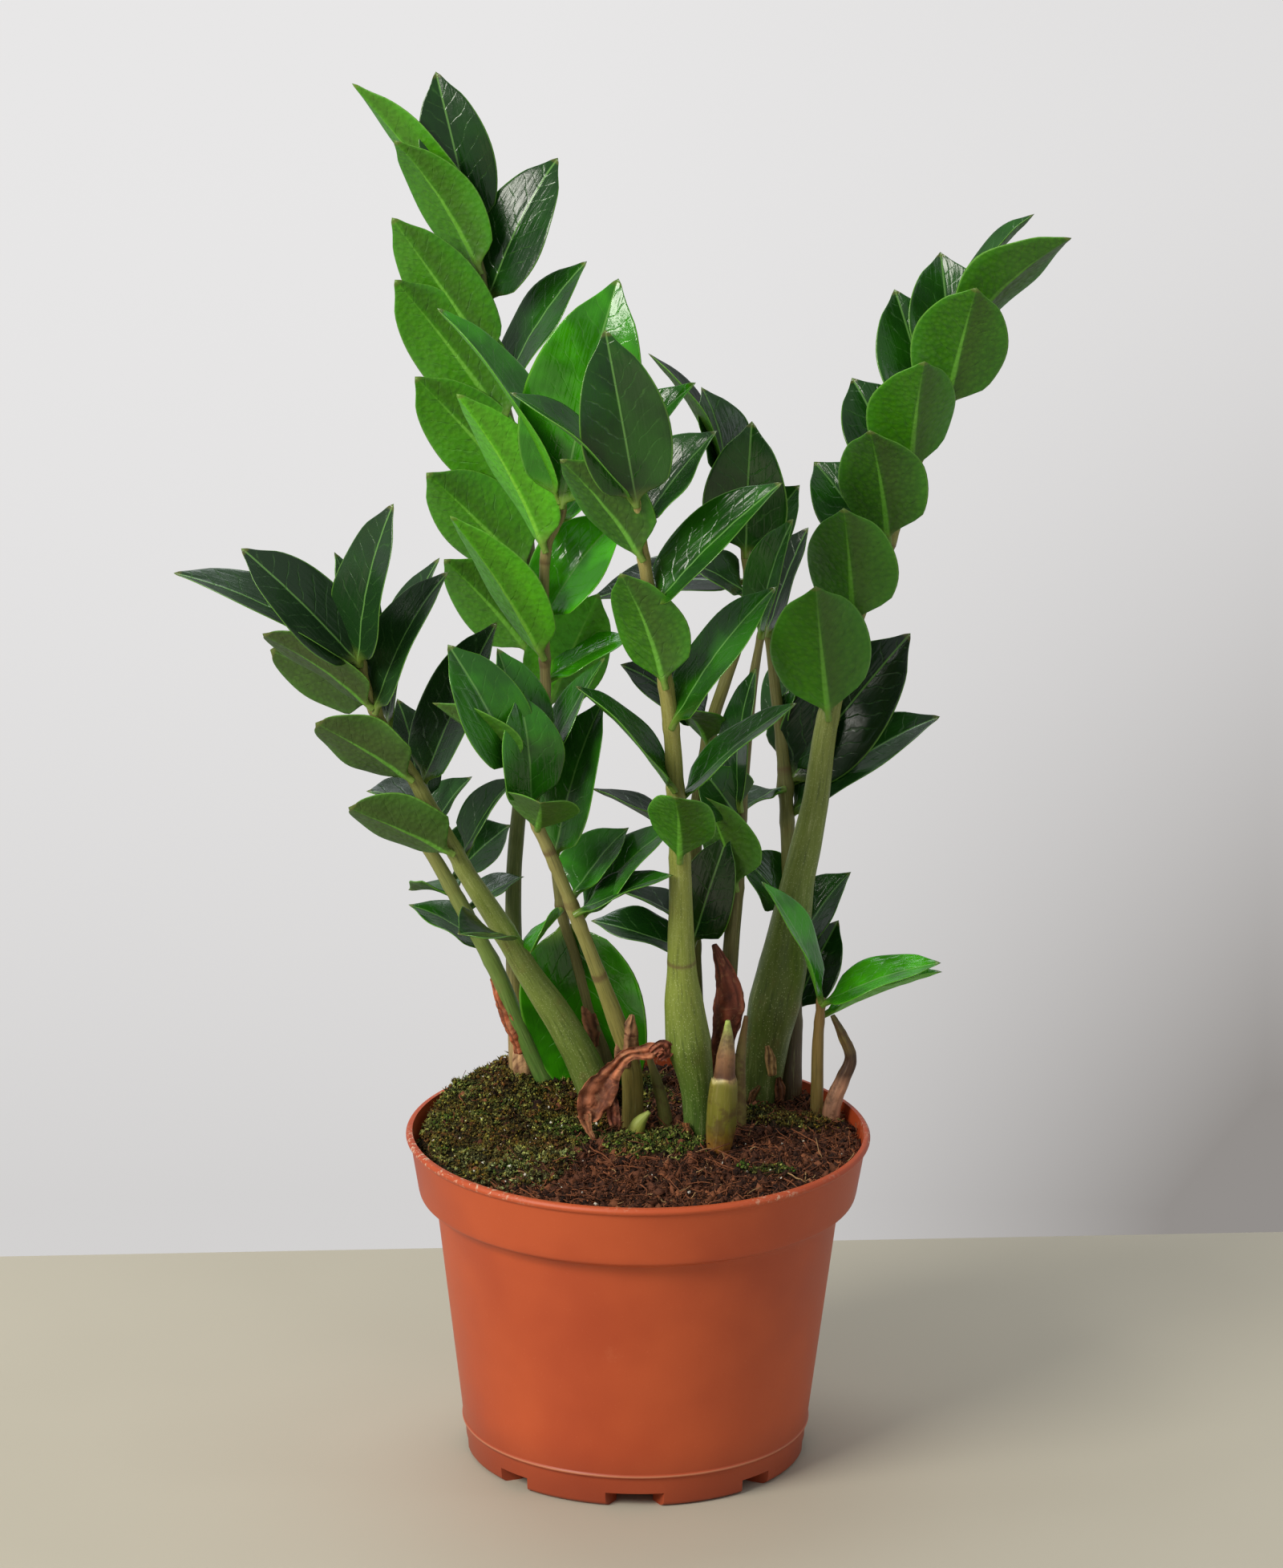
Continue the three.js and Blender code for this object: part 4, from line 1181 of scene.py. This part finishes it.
def make_fibres(random):
    """Curled peat fibres and a few pale straws."""
    form = Form("tint")
    feet = scattered(random, FIBRE_SPACING, bareness) + [0, 0, 0.3]
    lines = curved_lines(random, feet, random.uniform(1.2, 4.6, len(feet)), 6, 0.45)
    tints = palette(random, len(feet), PEAT_DARK, PEAT, PEAT, BARK, BARK)
    tints[random.random(len(feet)) < 0.05] = linear(STRAW)
    add_threads(form, lines, random.uniform(0.12, 0.3, len(feet)), tints)
    form.build("fibres", ground_look("Fibres", BARK), "soil")


def make_litter(random):
    """Bare peat's lumps and fine crumbs, and grains of perlite."""
    form = Form("tint")
    spots = scattered(random, LUMP_SPACING, bareness)
    sizes = random.uniform(0.7, 1.75, len(spots)) ** 1.5
    tints = palette(random, len(spots), PEAT_DARK, PEAT_DARK, PEAT, BARK)
    tints = tints * random.uniform(0.3, 1.4, (len(spots), 1))
    add_crumbs(form, random, inside_pot(spots + [0, 0, 0.2]), sizes, tints)
    spots = scattered(random, CRUMB_SPACING, bareness)
    tints = palette(random, len(spots), PEAT_DARK, PEAT, BARK)
    tints = tints * random.uniform(0.4, 1.3, (len(spots), 1))
    sizes = random.uniform(0.25, 0.7, len(spots))
    add_crumbs(form, random, inside_pot(spots + [0, 0, 0.3]), sizes, tints)
    grains = scattered(random, PERLITE_SPACING, lambda x, y: np.full_like(x, 0.35)) + [0, 0, 1]
    white = palette(random, len(grains), PERLITE, PERLITE, STRAW)
    add_crumbs(form, random, grains, random.uniform(0.3, 0.8, len(grains)), white)
    form.build("litter", ground_look("Litter", BARK), "soil")


# ---- Leaves and stems ----

HALF_ACROSS = [1, 0.97, 0.89, 0.76, 0.6, 0.42, 0.25, 0.1]
ACROSS = np.array([*HALF_ACROSS, 0, *(-a for a in HALF_ACROSS[::-1])])
AROUND = np.concatenate([ACROSS, ACROSS[-2:0:-1]])  # over the top from one margin, and back underneath
FACE = np.concatenate([[0], np.ones(15), [0], -np.ones(15)])
LEAF_ROWS = 28
STEM_STEP = 2.2
PETIOLE = 1.25  # its radius
BLADE_HALF_THICKNESS = 0.42
POINT = 1.5  # how far the horny point stands past the blade


def leaf_outline(u, blunt):
    """Half width as a share of the widest, from the foot at 0 to the point at 1."""
    pointed = 2.79 * u**0.65 * (1 - u) ** 0.85 * (1 - 0.4 * smooth(u, 0.84, 1))
    oblong = 1.84 * u**0.42 * (1 - u) ** 0.46
    return mix(pointed, oblong, blunt)


def upper_side(reach, degrees):
    """The way a leaf's upper side faces: turned from the front, about the leaf, by its facing angle."""
    along = unit(reach)
    front = unit(FRONT - along * FRONT.dot(along))
    up = np.cross(along, front) * (1 if reach[0] < 0 else -1)
    angle = math.radians(degrees)
    return front * math.cos(angle) + up * math.sin(angle)


def leaf_spine(foot, reach, upper, bow, stem_radius, w, random):
    """A leaflet's foot and its middle line at w, with its ways along, sideways and up. It bows, twists and
    droops a little, and sets off from the side of its stem that it leans to."""
    length = np.linalg.norm(reach)
    middle, tip = foot + reach / 2 + upper * bow * length, foot + reach
    forward = np.clip(-reach[1] / 5, -1, 1) * (stem_radius + 1.6)
    foot, middle = foot - [0, forward, 0], middle - [0, forward, 0]
    line = (1 - w) ** 2 * foot + 2 * w * (1 - w) * middle + w**2 * tip
    along = unit(2 * (1 - w) * (middle - foot) + 2 * w * (tip - middle))
    up = unit(upper - along * (along @ upper)[:, None])
    twist = math.radians(random.uniform(-10, 10)) * (w - 0.3)
    side = np.cross(up, along)
    side, up = side * np.cos(twist) + up * np.sin(twist), up * np.cos(twist) - side * np.sin(twist)
    line = line - up * (random.uniform(-0.015, 0.05) * length * w**3)
    return foot, line, along, side, up


def blade_thickness(mm, w, opened):
    """Half the thickness at mm across, grooved above and ribbed below. It is round where it is a petiole."""
    round_side = np.sqrt(1 - AROUND[None, :] ** 2)
    blade = BLADE_HALF_THICKNESS * (0.35 + 0.65 * round_side)
    rib = np.exp(-((mm / 1.1) ** 2)) * (1 - w) ** 0.8
    groove = -0.3 * np.exp(-((mm / 0.8) ** 2))
    thickness = np.where(FACE > 0, blade + groove, blade + 0.9 * rib) * np.abs(FACE)
    return mix(PETIOLE * round_side, thickness, opened) * (1 - smooth(w, 0.9, 1.02) * 0.5)


def add_leaf(form, foot, reach, width, upper, bow, stem_radius, random, tones, blunt):
    """One leaflet: a short petiole, then a blade with a fold, shallow puckers and a wavy margin."""
    length = np.linalg.norm(reach)
    u = (1 - np.cos(np.linspace(0.06, math.pi - 0.1, LEAF_ROWS))) / 2
    w = u[:, None]
    foot, line, along, side, up = leaf_spine(foot, reach, upper, bow, stem_radius, w, random)
    opened = smooth(u * length - 0.8 * stem_radius, 0.5, 8.5)[:, None]
    half = PETIOLE + (leaf_outline(u, blunt) * width / 2 - PETIOLE * (1 - u)) * opened[:, 0]
    half = np.maximum(half, 0.22)[:, None]
    a = AROUND[None, :]
    mm = a * half
    phase, ripple = random.uniform(0, 1), random.uniform(0.03, 0.09)
    wave = ripple * half * a**2 * np.sin(2 * math.pi * (1.6 * w + phase + 0.15 * np.sign(a)))
    own = random.random()
    spot = np.stack(np.broadcast_arrays(mm, w * length, own), axis=-1)
    puckers = 0.3 * rough(spot * [1, 1, 900], 5.5) * (1 - a**2)
    fold = LEAF_FOLD * random.uniform(0.8, 2.2)
    rise = (fold * half * np.abs(a) ** 1.25 + wave + puckers) * opened
    lift = rise + FACE[None, :] * blade_thickness(mm, w, opened)
    rings = line[:, None] + side[:, None] * mm[..., None] + up[:, None] * lift[..., None]
    points, faces = skin(rings, foot, line[-1] + along[-1] * POINT)
    leaf = capped(np.stack(np.broadcast_arrays(a, w, FACE), axis=-1))
    leaf[-1, 1] = 1.02
    shift = random.uniform(-0.12, 0.12)
    dull = tones[2] * random.uniform(0.7, 1.1) + random.uniform(0, 0.12)
    form.add(points, faces, leaf=leaf, spot=capped(spot), tone=(tones[0] + shift, tones[1] + shift, dull))


def stem_tint(name, height, top):
    """The stem's colour at heights, from the three colours of its frond."""
    foot, middle, end = (linear(colour) for colour in STEM_COLOURS[name])
    low = smooth(height, SWELLING_TOP - 45, SWELLING_TOP + 15)[:, None]
    high = smooth(height, SWELLING_TOP, top)[:, None]
    return mix(foot, mix(middle, end, high), low)


def add_stem(form, name, stem, leaves):
    """A round stem that swells a little where leaves leave it, with rings where sheaths dropped off."""
    axis, t, centre, mm_along, out, around = tube(stem, 20, STEM_STEP)
    radius = radius_at(stem, t)
    for place, *_ in leaves:
        radius = radius + 0.3 * np.exp(-(((mm_along - place * axis.length) / 2.2) ** 2))
    ring = np.zeros_like(t)
    for height in NODE_RINGS.get(name, []):
        ring = np.maximum(ring, np.exp(-(((centre[:, 2] - height) / 2) ** 2)))
    radius = radius + 0.2 * ring
    rings = centre[:, None] + out * radius[:, None, None]
    rings = rings + out * (0.05 * radius[:, None] * rough(rings, 14, 2.2))[..., None]
    points, faces = skin(rings, centre[0], centre[-1])
    tint = stem_tint(name, centre[:, 2], stem[-1][2])
    marks = np.column_stack([ring, np.full((len(t), 2), [name in SPECKLED, 0.0])])
    tint, marks = (np.broadcast_to(value[:, None], around.shape) for value in (tint, marks))
    form.add(points, faces, stem=capped(around), tint=capped(tint), marks=capped(marks))
    return axis


def make_fronds(random):
    """Every frond as a stem piece and a leaf piece."""
    leaf_material, stem_material = leaf_look(), stem_look()
    bows = lehmer(SEED)
    for name, frond in FRONDS.items():
        stem, leaves = frond["stem"], frond["leaves"]
        stems, blades = Form("stem", "tint", "marks"), Form("leaf", "spot", "tone")
        axis = add_stem(stems, name, stem, leaves)
        for index, (place, dx, dy, dz, width, facing) in enumerate(leaves):
            t = axis.even(place)
            reach = np.array([dx, dy, dz], float)
            bow = 2 * (LEAF_ARCH + ARCH_SPREAD * (next(bows) - 0.5))
            upper = upper_side(reach, facing)
            radius = float(radius_at(stem, t))
            tones = LEAF_TONES[name]
            if (name, index) == BURIED_LEAF:
                reach, tones = reach * BURIED_REACH, BURIED_TONES
            blunt = 0.85 if name in BLUNT_FRONDS and facing > 90 else 0
            add_leaf(blades, axis.at(t), reach, width, upper, bow, radius, random, tones, blunt)
        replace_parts(stems.build(name + "_stem", stem_material, "stem"), name)
        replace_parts(blades.build(name + "_leaves", leaf_material, "leaf"), name)


# ---- Sprouts, sheaths and the dry leaf ----

SHOOT_COLOURS = {  # heights and colours up the shoot
    "sprout_right": [
        (120, (172, 124, 96)), (132, (180, 130, 100)), (137, (72, 46, 32)), (144, (62, 42, 30)),
        (149, (108, 90, 46)), (158, (84, 74, 40)),
    ],
    "sprout_front": [
        (116, (156, 84, 34)), (124, (130, 90, 32)), (132, (106, 104, 28)), (146.5, (118, 114, 36)),
        (148, (138, 130, 56)), (148.6, (224, 210, 150)), (149.2, (190, 160, 104)),
        (149.8, (96, 62, 42)), (158, (144, 104, 70)), (165, (140, 128, 80)), (170, (168, 186, 92)),
    ],
    "sprout_brown": [(120, (112, 104, 50)), (150, (120, 110, 60)), (164, (110, 80, 44))],
    "sheath_red_brown": [
        (120, (84, 50, 34)), (150, (110, 62, 44)), (170, (136, 70, 50)), (190, (96, 50, 38)),
    ],
    "shoot_green": [
        (116, (128, 96, 44)), (122, (132, 122, 48)), (128, (140, 148, 58)), (133, (156, 172, 84)),
    ],
    "stub_green": [(116, (92, 96, 44)), (140, (108, 108, 50)), (150, (126, 118, 62))],
    "sheath_orange": [
        (116, (176, 142, 100)), (140, (190, 150, 108)), (147, (178, 104, 62)), (166, (168, 90, 54)),
    ],
}
# How deep their ribs are, in mm, where it isn't SMOOTH_RIBS; the depth also sets how strongly painted shade
# and light follow the ribs.
WRINKLED = {"sheath_red_brown": 1.1, "sheath_orange": 0.5, "sprout_right": 0.35, "sprout_front": 0.12}
SMOOTH_RIBS = 0.06
TORN_SHOOT = "sprout_front"  # its sheath ends in a torn rim between these heights
TORN_LOW = 146
TORN_HIGH = 152
SHOOT_STEP = 0.9
SCRAP_HALF_THICKNESS = 0.3
PAPERY = {"sheath_red_brown", "sheath_orange"}
BROWN_SPROUTS = {"sprout_right", "sprout_brown"}


def shoot_tint(name, height):
    """The shoot's colour at heights."""
    heights, colours = zip(*SHOOT_COLOURS[name])
    table = np.array([linear(colour) for colour in colours])
    return np.stack([np.interp(height, heights, table[:, i]) for i in range(3)], axis=-1)


def make_shoot(name, stem, materials):
    """A leafless shoot or sheath, ribbed lengthwise where it is dry."""
    axis, t, centre, _, out, around = tube(stem, 28, SHOOT_STEP)
    radius = radius_at(stem, t)
    rings = centre[:, None] + out * radius[:, None, None]
    height = rings[..., 2]
    depth = WRINKLED.get(name, SMOOTH_RIBS)
    ribs = rough(np.stack([3 * out[..., 0], 3 * out[..., 1], 0.07 * height], axis=-1), 1.0, 1.9)
    wrinkle = np.minimum(depth, 0.3 * radius[:, None]) * (ribs + 0.5 * rough(rings, 2.4))
    rings = rings + out * wrinkle[..., None]
    height = rings[..., 2]
    # painted shade and light: darker in the ribs' grooves and lighter on their ridges
    tint = shoot_tint(name, height) * np.clip(1 + 1.6 * depth * ribs, 0.4, 1.8)[..., None]
    if name == TORN_SHOOT:
        near = smooth(height, TORN_LOW - 4, TORN_LOW) * (1 - smooth(height, TORN_LOW, TORN_HIGH))
        rings = rings + np.array([0, 0, 1.0]) * (2.4 * near * rough(out, 0.7, 2.7))[..., None]
    points, faces = skin(rings, centre[0], axis.at(1.0))
    form = Form("stem", "tint")
    form.add(points, faces, stem=capped(around), tint=capped(tint))
    slot = "dry" if name in PAPERY or name in BROWN_SPROUTS else "stem"
    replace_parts(form.build(name + "_fine", materials[name in PAPERY], slot), name)


def add_scrap(form, line, width, facing, fold, crumple, tint):
    """A dry papery strip along a line, folded, pleated and crumpled."""
    axis = Axis(line)
    rows = max(10, int(axis.length / 0.6))
    u = np.linspace(0.02, 0.98, rows)
    t = axis.even(u)
    centre, along = axis.at(t), axis.along(t)
    facing = np.asarray(facing, float)
    up = unit(facing - along * (along @ facing)[:, None])
    side = np.cross(up, along)
    half = np.interp(u, np.linspace(0, 1, len(width)), width)[:, None] / 2
    a = AROUND[None, :]
    middle = centre[:, None] + side[:, None] * (a * half)[..., None]
    wave = np.sin(7 * a + 2.5 * rough(middle, 7, 3.3))
    thickness = FACE[None, :] * SCRAP_HALF_THICKNESS * np.sqrt(1 - a**2)
    lift = fold * half * np.abs(a) + 0.45 * crumple * wave + thickness
    shift = lift + crumple * (rough(middle, 2.6, 4.2) + 0.5 * rough(middle, 1.1, 1.2))
    sway = 0.6 * crumple * rough(middle, 3.1, 8.8)
    rings = middle + up[:, None] * shift[..., None] + side[:, None] * sway[..., None]
    points, faces = skin(rings, axis.at(0.0), axis.at(1.0))
    shade = capped((0.5 + 0.35 * wave + 0.5 * rough(middle, 3, 6.1))[..., None])
    form.add(points, faces, tint=linear(tint) * np.clip(0.3 + 1.2 * shade, 0.2, 1.6))


def make_scraps(name, scraps, material):
    form = Form("tint")
    for scrap in scraps:
        add_scrap(form, *scrap)
    return form.build(name, material, "dry")


# ---- Light, floor and camera ----

CAMERA_PLACE = (0, -2.26094, 0.92808)
CAMERA_DROP = 16.585  # how many degrees below the horizon it looks
CAMERA_ROLL = 0.55
LENS = 150.52
SENSOR_WIDTH = 36
LAMPS = [  # name, place, target, size, watts, colour
    ("Key", (-1.45, -1.34, 1.5), (0, 0, 0.22), (1.1, 0.9), 50, (255, 251, 243)),
    ("Top", (-0.2, 0.7, 1.9), (0, 0, 0.25), (1.2, 0.8), 12, (246, 249, 255)),
    ("Strip", (1.5, -0.5, 1.05), (0, 0, 0.3), (0.3, 1.4), 1.8, (244, 248, 255)),
]
TABLE_CORNERS = [(-2400, -2600), (2400, -2600), (2400, 404), (-2400, 12)]
TABLE_THICKNESS = 40
WALL_COLOUR = (232, 231, 231)
WALL_SHADE = (146, 142, 139)
SOFT_LIGHT = (238, 239, 242)
SOFT_LIGHT_STRENGTH = 0.46


def aim(thing, place, target):
    """Puts a lamp at place, looking at target."""
    thing.location = place
    thing.rotation_euler = (Vector(target) - Vector(place)).to_track_quat("-Z", "Y").to_euler()


def add_lamp(name, place, target, size, power, colour):
    lamp = bpy.data.lights.new(name, "AREA")
    lamp.shape = "RECTANGLE"
    lamp.size, lamp.size_y = size
    lamp.energy = power
    lamp.color = linear(colour)
    aim(add_object(name, lamp), place, target)


def make_camera():
    """The photograph's camera: a long lens that looks down a little."""
    camera = bpy.data.cameras.new("Camera")
    camera.sensor_width = SENSOR_WIDTH
    camera.lens = LENS
    thing = add_object("Camera", camera)
    thing.location = CAMERA_PLACE
    tilt = Matrix.Rotation(math.radians(90 - CAMERA_DROP), 4, "X")
    thing.rotation_euler = (tilt @ Matrix.Rotation(math.radians(CAMERA_ROLL), 4, "Z")).to_euler()
    bpy.context.scene.camera = thing


def table_look():
    look = Look("Table", roughness=0.6, specular=0.25)
    cloud = look.spread(look.noise(3, 3), 0.3, 0.7)
    look.set(Base_Color=look.blend(cloud, rgba((181, 175, 157)), rgba((188, 182, 164))))
    look.bump(look.noise(600), 0.02)
    return look.material


def make_table():
    """A plain table whose far edge runs behind the pot."""
    form = Form()
    form.add(*prism(TABLE_CORNERS, -TABLE_THICKNESS, 0))
    mesh = form.mesh("table")
    mesh.materials.append(table_look())
    add_object("table", mesh)


def make_world():
    """A pale wall all round, a little darker low down on the right, that also gives soft light."""
    world = bpy.data.worlds.new("World")
    bpy.context.scene.world = world
    world.use_nodes = True
    tree = world.node_tree
    tree.nodes.clear()

    def node(kind, *values, **settings):
        return add_node(tree, kind, values, **settings).outputs[0]

    way = add_node(tree, "SeparateXYZ", (add_node(tree, "TexCoord").outputs["Generated"],)).outputs
    rightward = node("MapRange", way[0], -0.02, 0.095)
    downward = node("MapRange", way[2], -0.17, -0.345)
    low = node("Math", downward, downward, operation="MULTIPLY")
    far_right = node("Math", rightward, rightward, operation="MULTIPLY")
    corner = node("Math", far_right, 0.78, 0.3, operation="MULTIPLY_ADD")
    aside = node("Math", rightward, 0.12, operation="MULTIPLY")
    shade = node("Math", low, corner, aside, operation="MULTIPLY_ADD", use_clamp=True)
    colours = {0: shade, 6: rgba(WALL_COLOUR), 7: rgba(WALL_SHADE)}
    wall = node("Background", add_node(tree, "Mix", colours, data_type="RGBA").outputs[2], 1.0)
    soft = node("Background", rgba(SOFT_LIGHT), SOFT_LIGHT_STRENGTH)
    seen = add_node(tree, "LightPath").outputs["Is Camera Ray"]
    add_node(tree, "OutputWorld", (node("MixShader", seen, soft, wall),))


def make_light():
    make_world()
    for lamp in LAMPS:
        add_lamp(*lamp)
    bpy.context.scene.view_settings.view_transform = "Standard"


# ---- The plant ----


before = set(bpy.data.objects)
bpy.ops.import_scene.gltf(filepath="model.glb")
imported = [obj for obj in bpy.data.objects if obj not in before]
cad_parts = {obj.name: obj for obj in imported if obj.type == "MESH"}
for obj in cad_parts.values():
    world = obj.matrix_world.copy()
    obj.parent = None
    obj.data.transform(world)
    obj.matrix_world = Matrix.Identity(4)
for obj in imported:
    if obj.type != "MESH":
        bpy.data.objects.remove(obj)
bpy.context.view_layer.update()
make_camera()
random = np.random.default_rng(SEED)
make_pot()
make_soil()
make_moss(random)
make_fibres(random)
make_litter(random)
make_fronds(random)
papery = papery_look()
shoot_materials = {False: sprout_look(), True: papery}
for shoot, stem in SHOOTS.items():
    make_shoot(shoot, stem, shoot_materials)
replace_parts(make_scraps("dry_leaf_fine", DRY_LEAF, papery), "dry_leaf")
make_scraps("sheath_scraps", SCRAPS, papery)
make_table()
make_light()
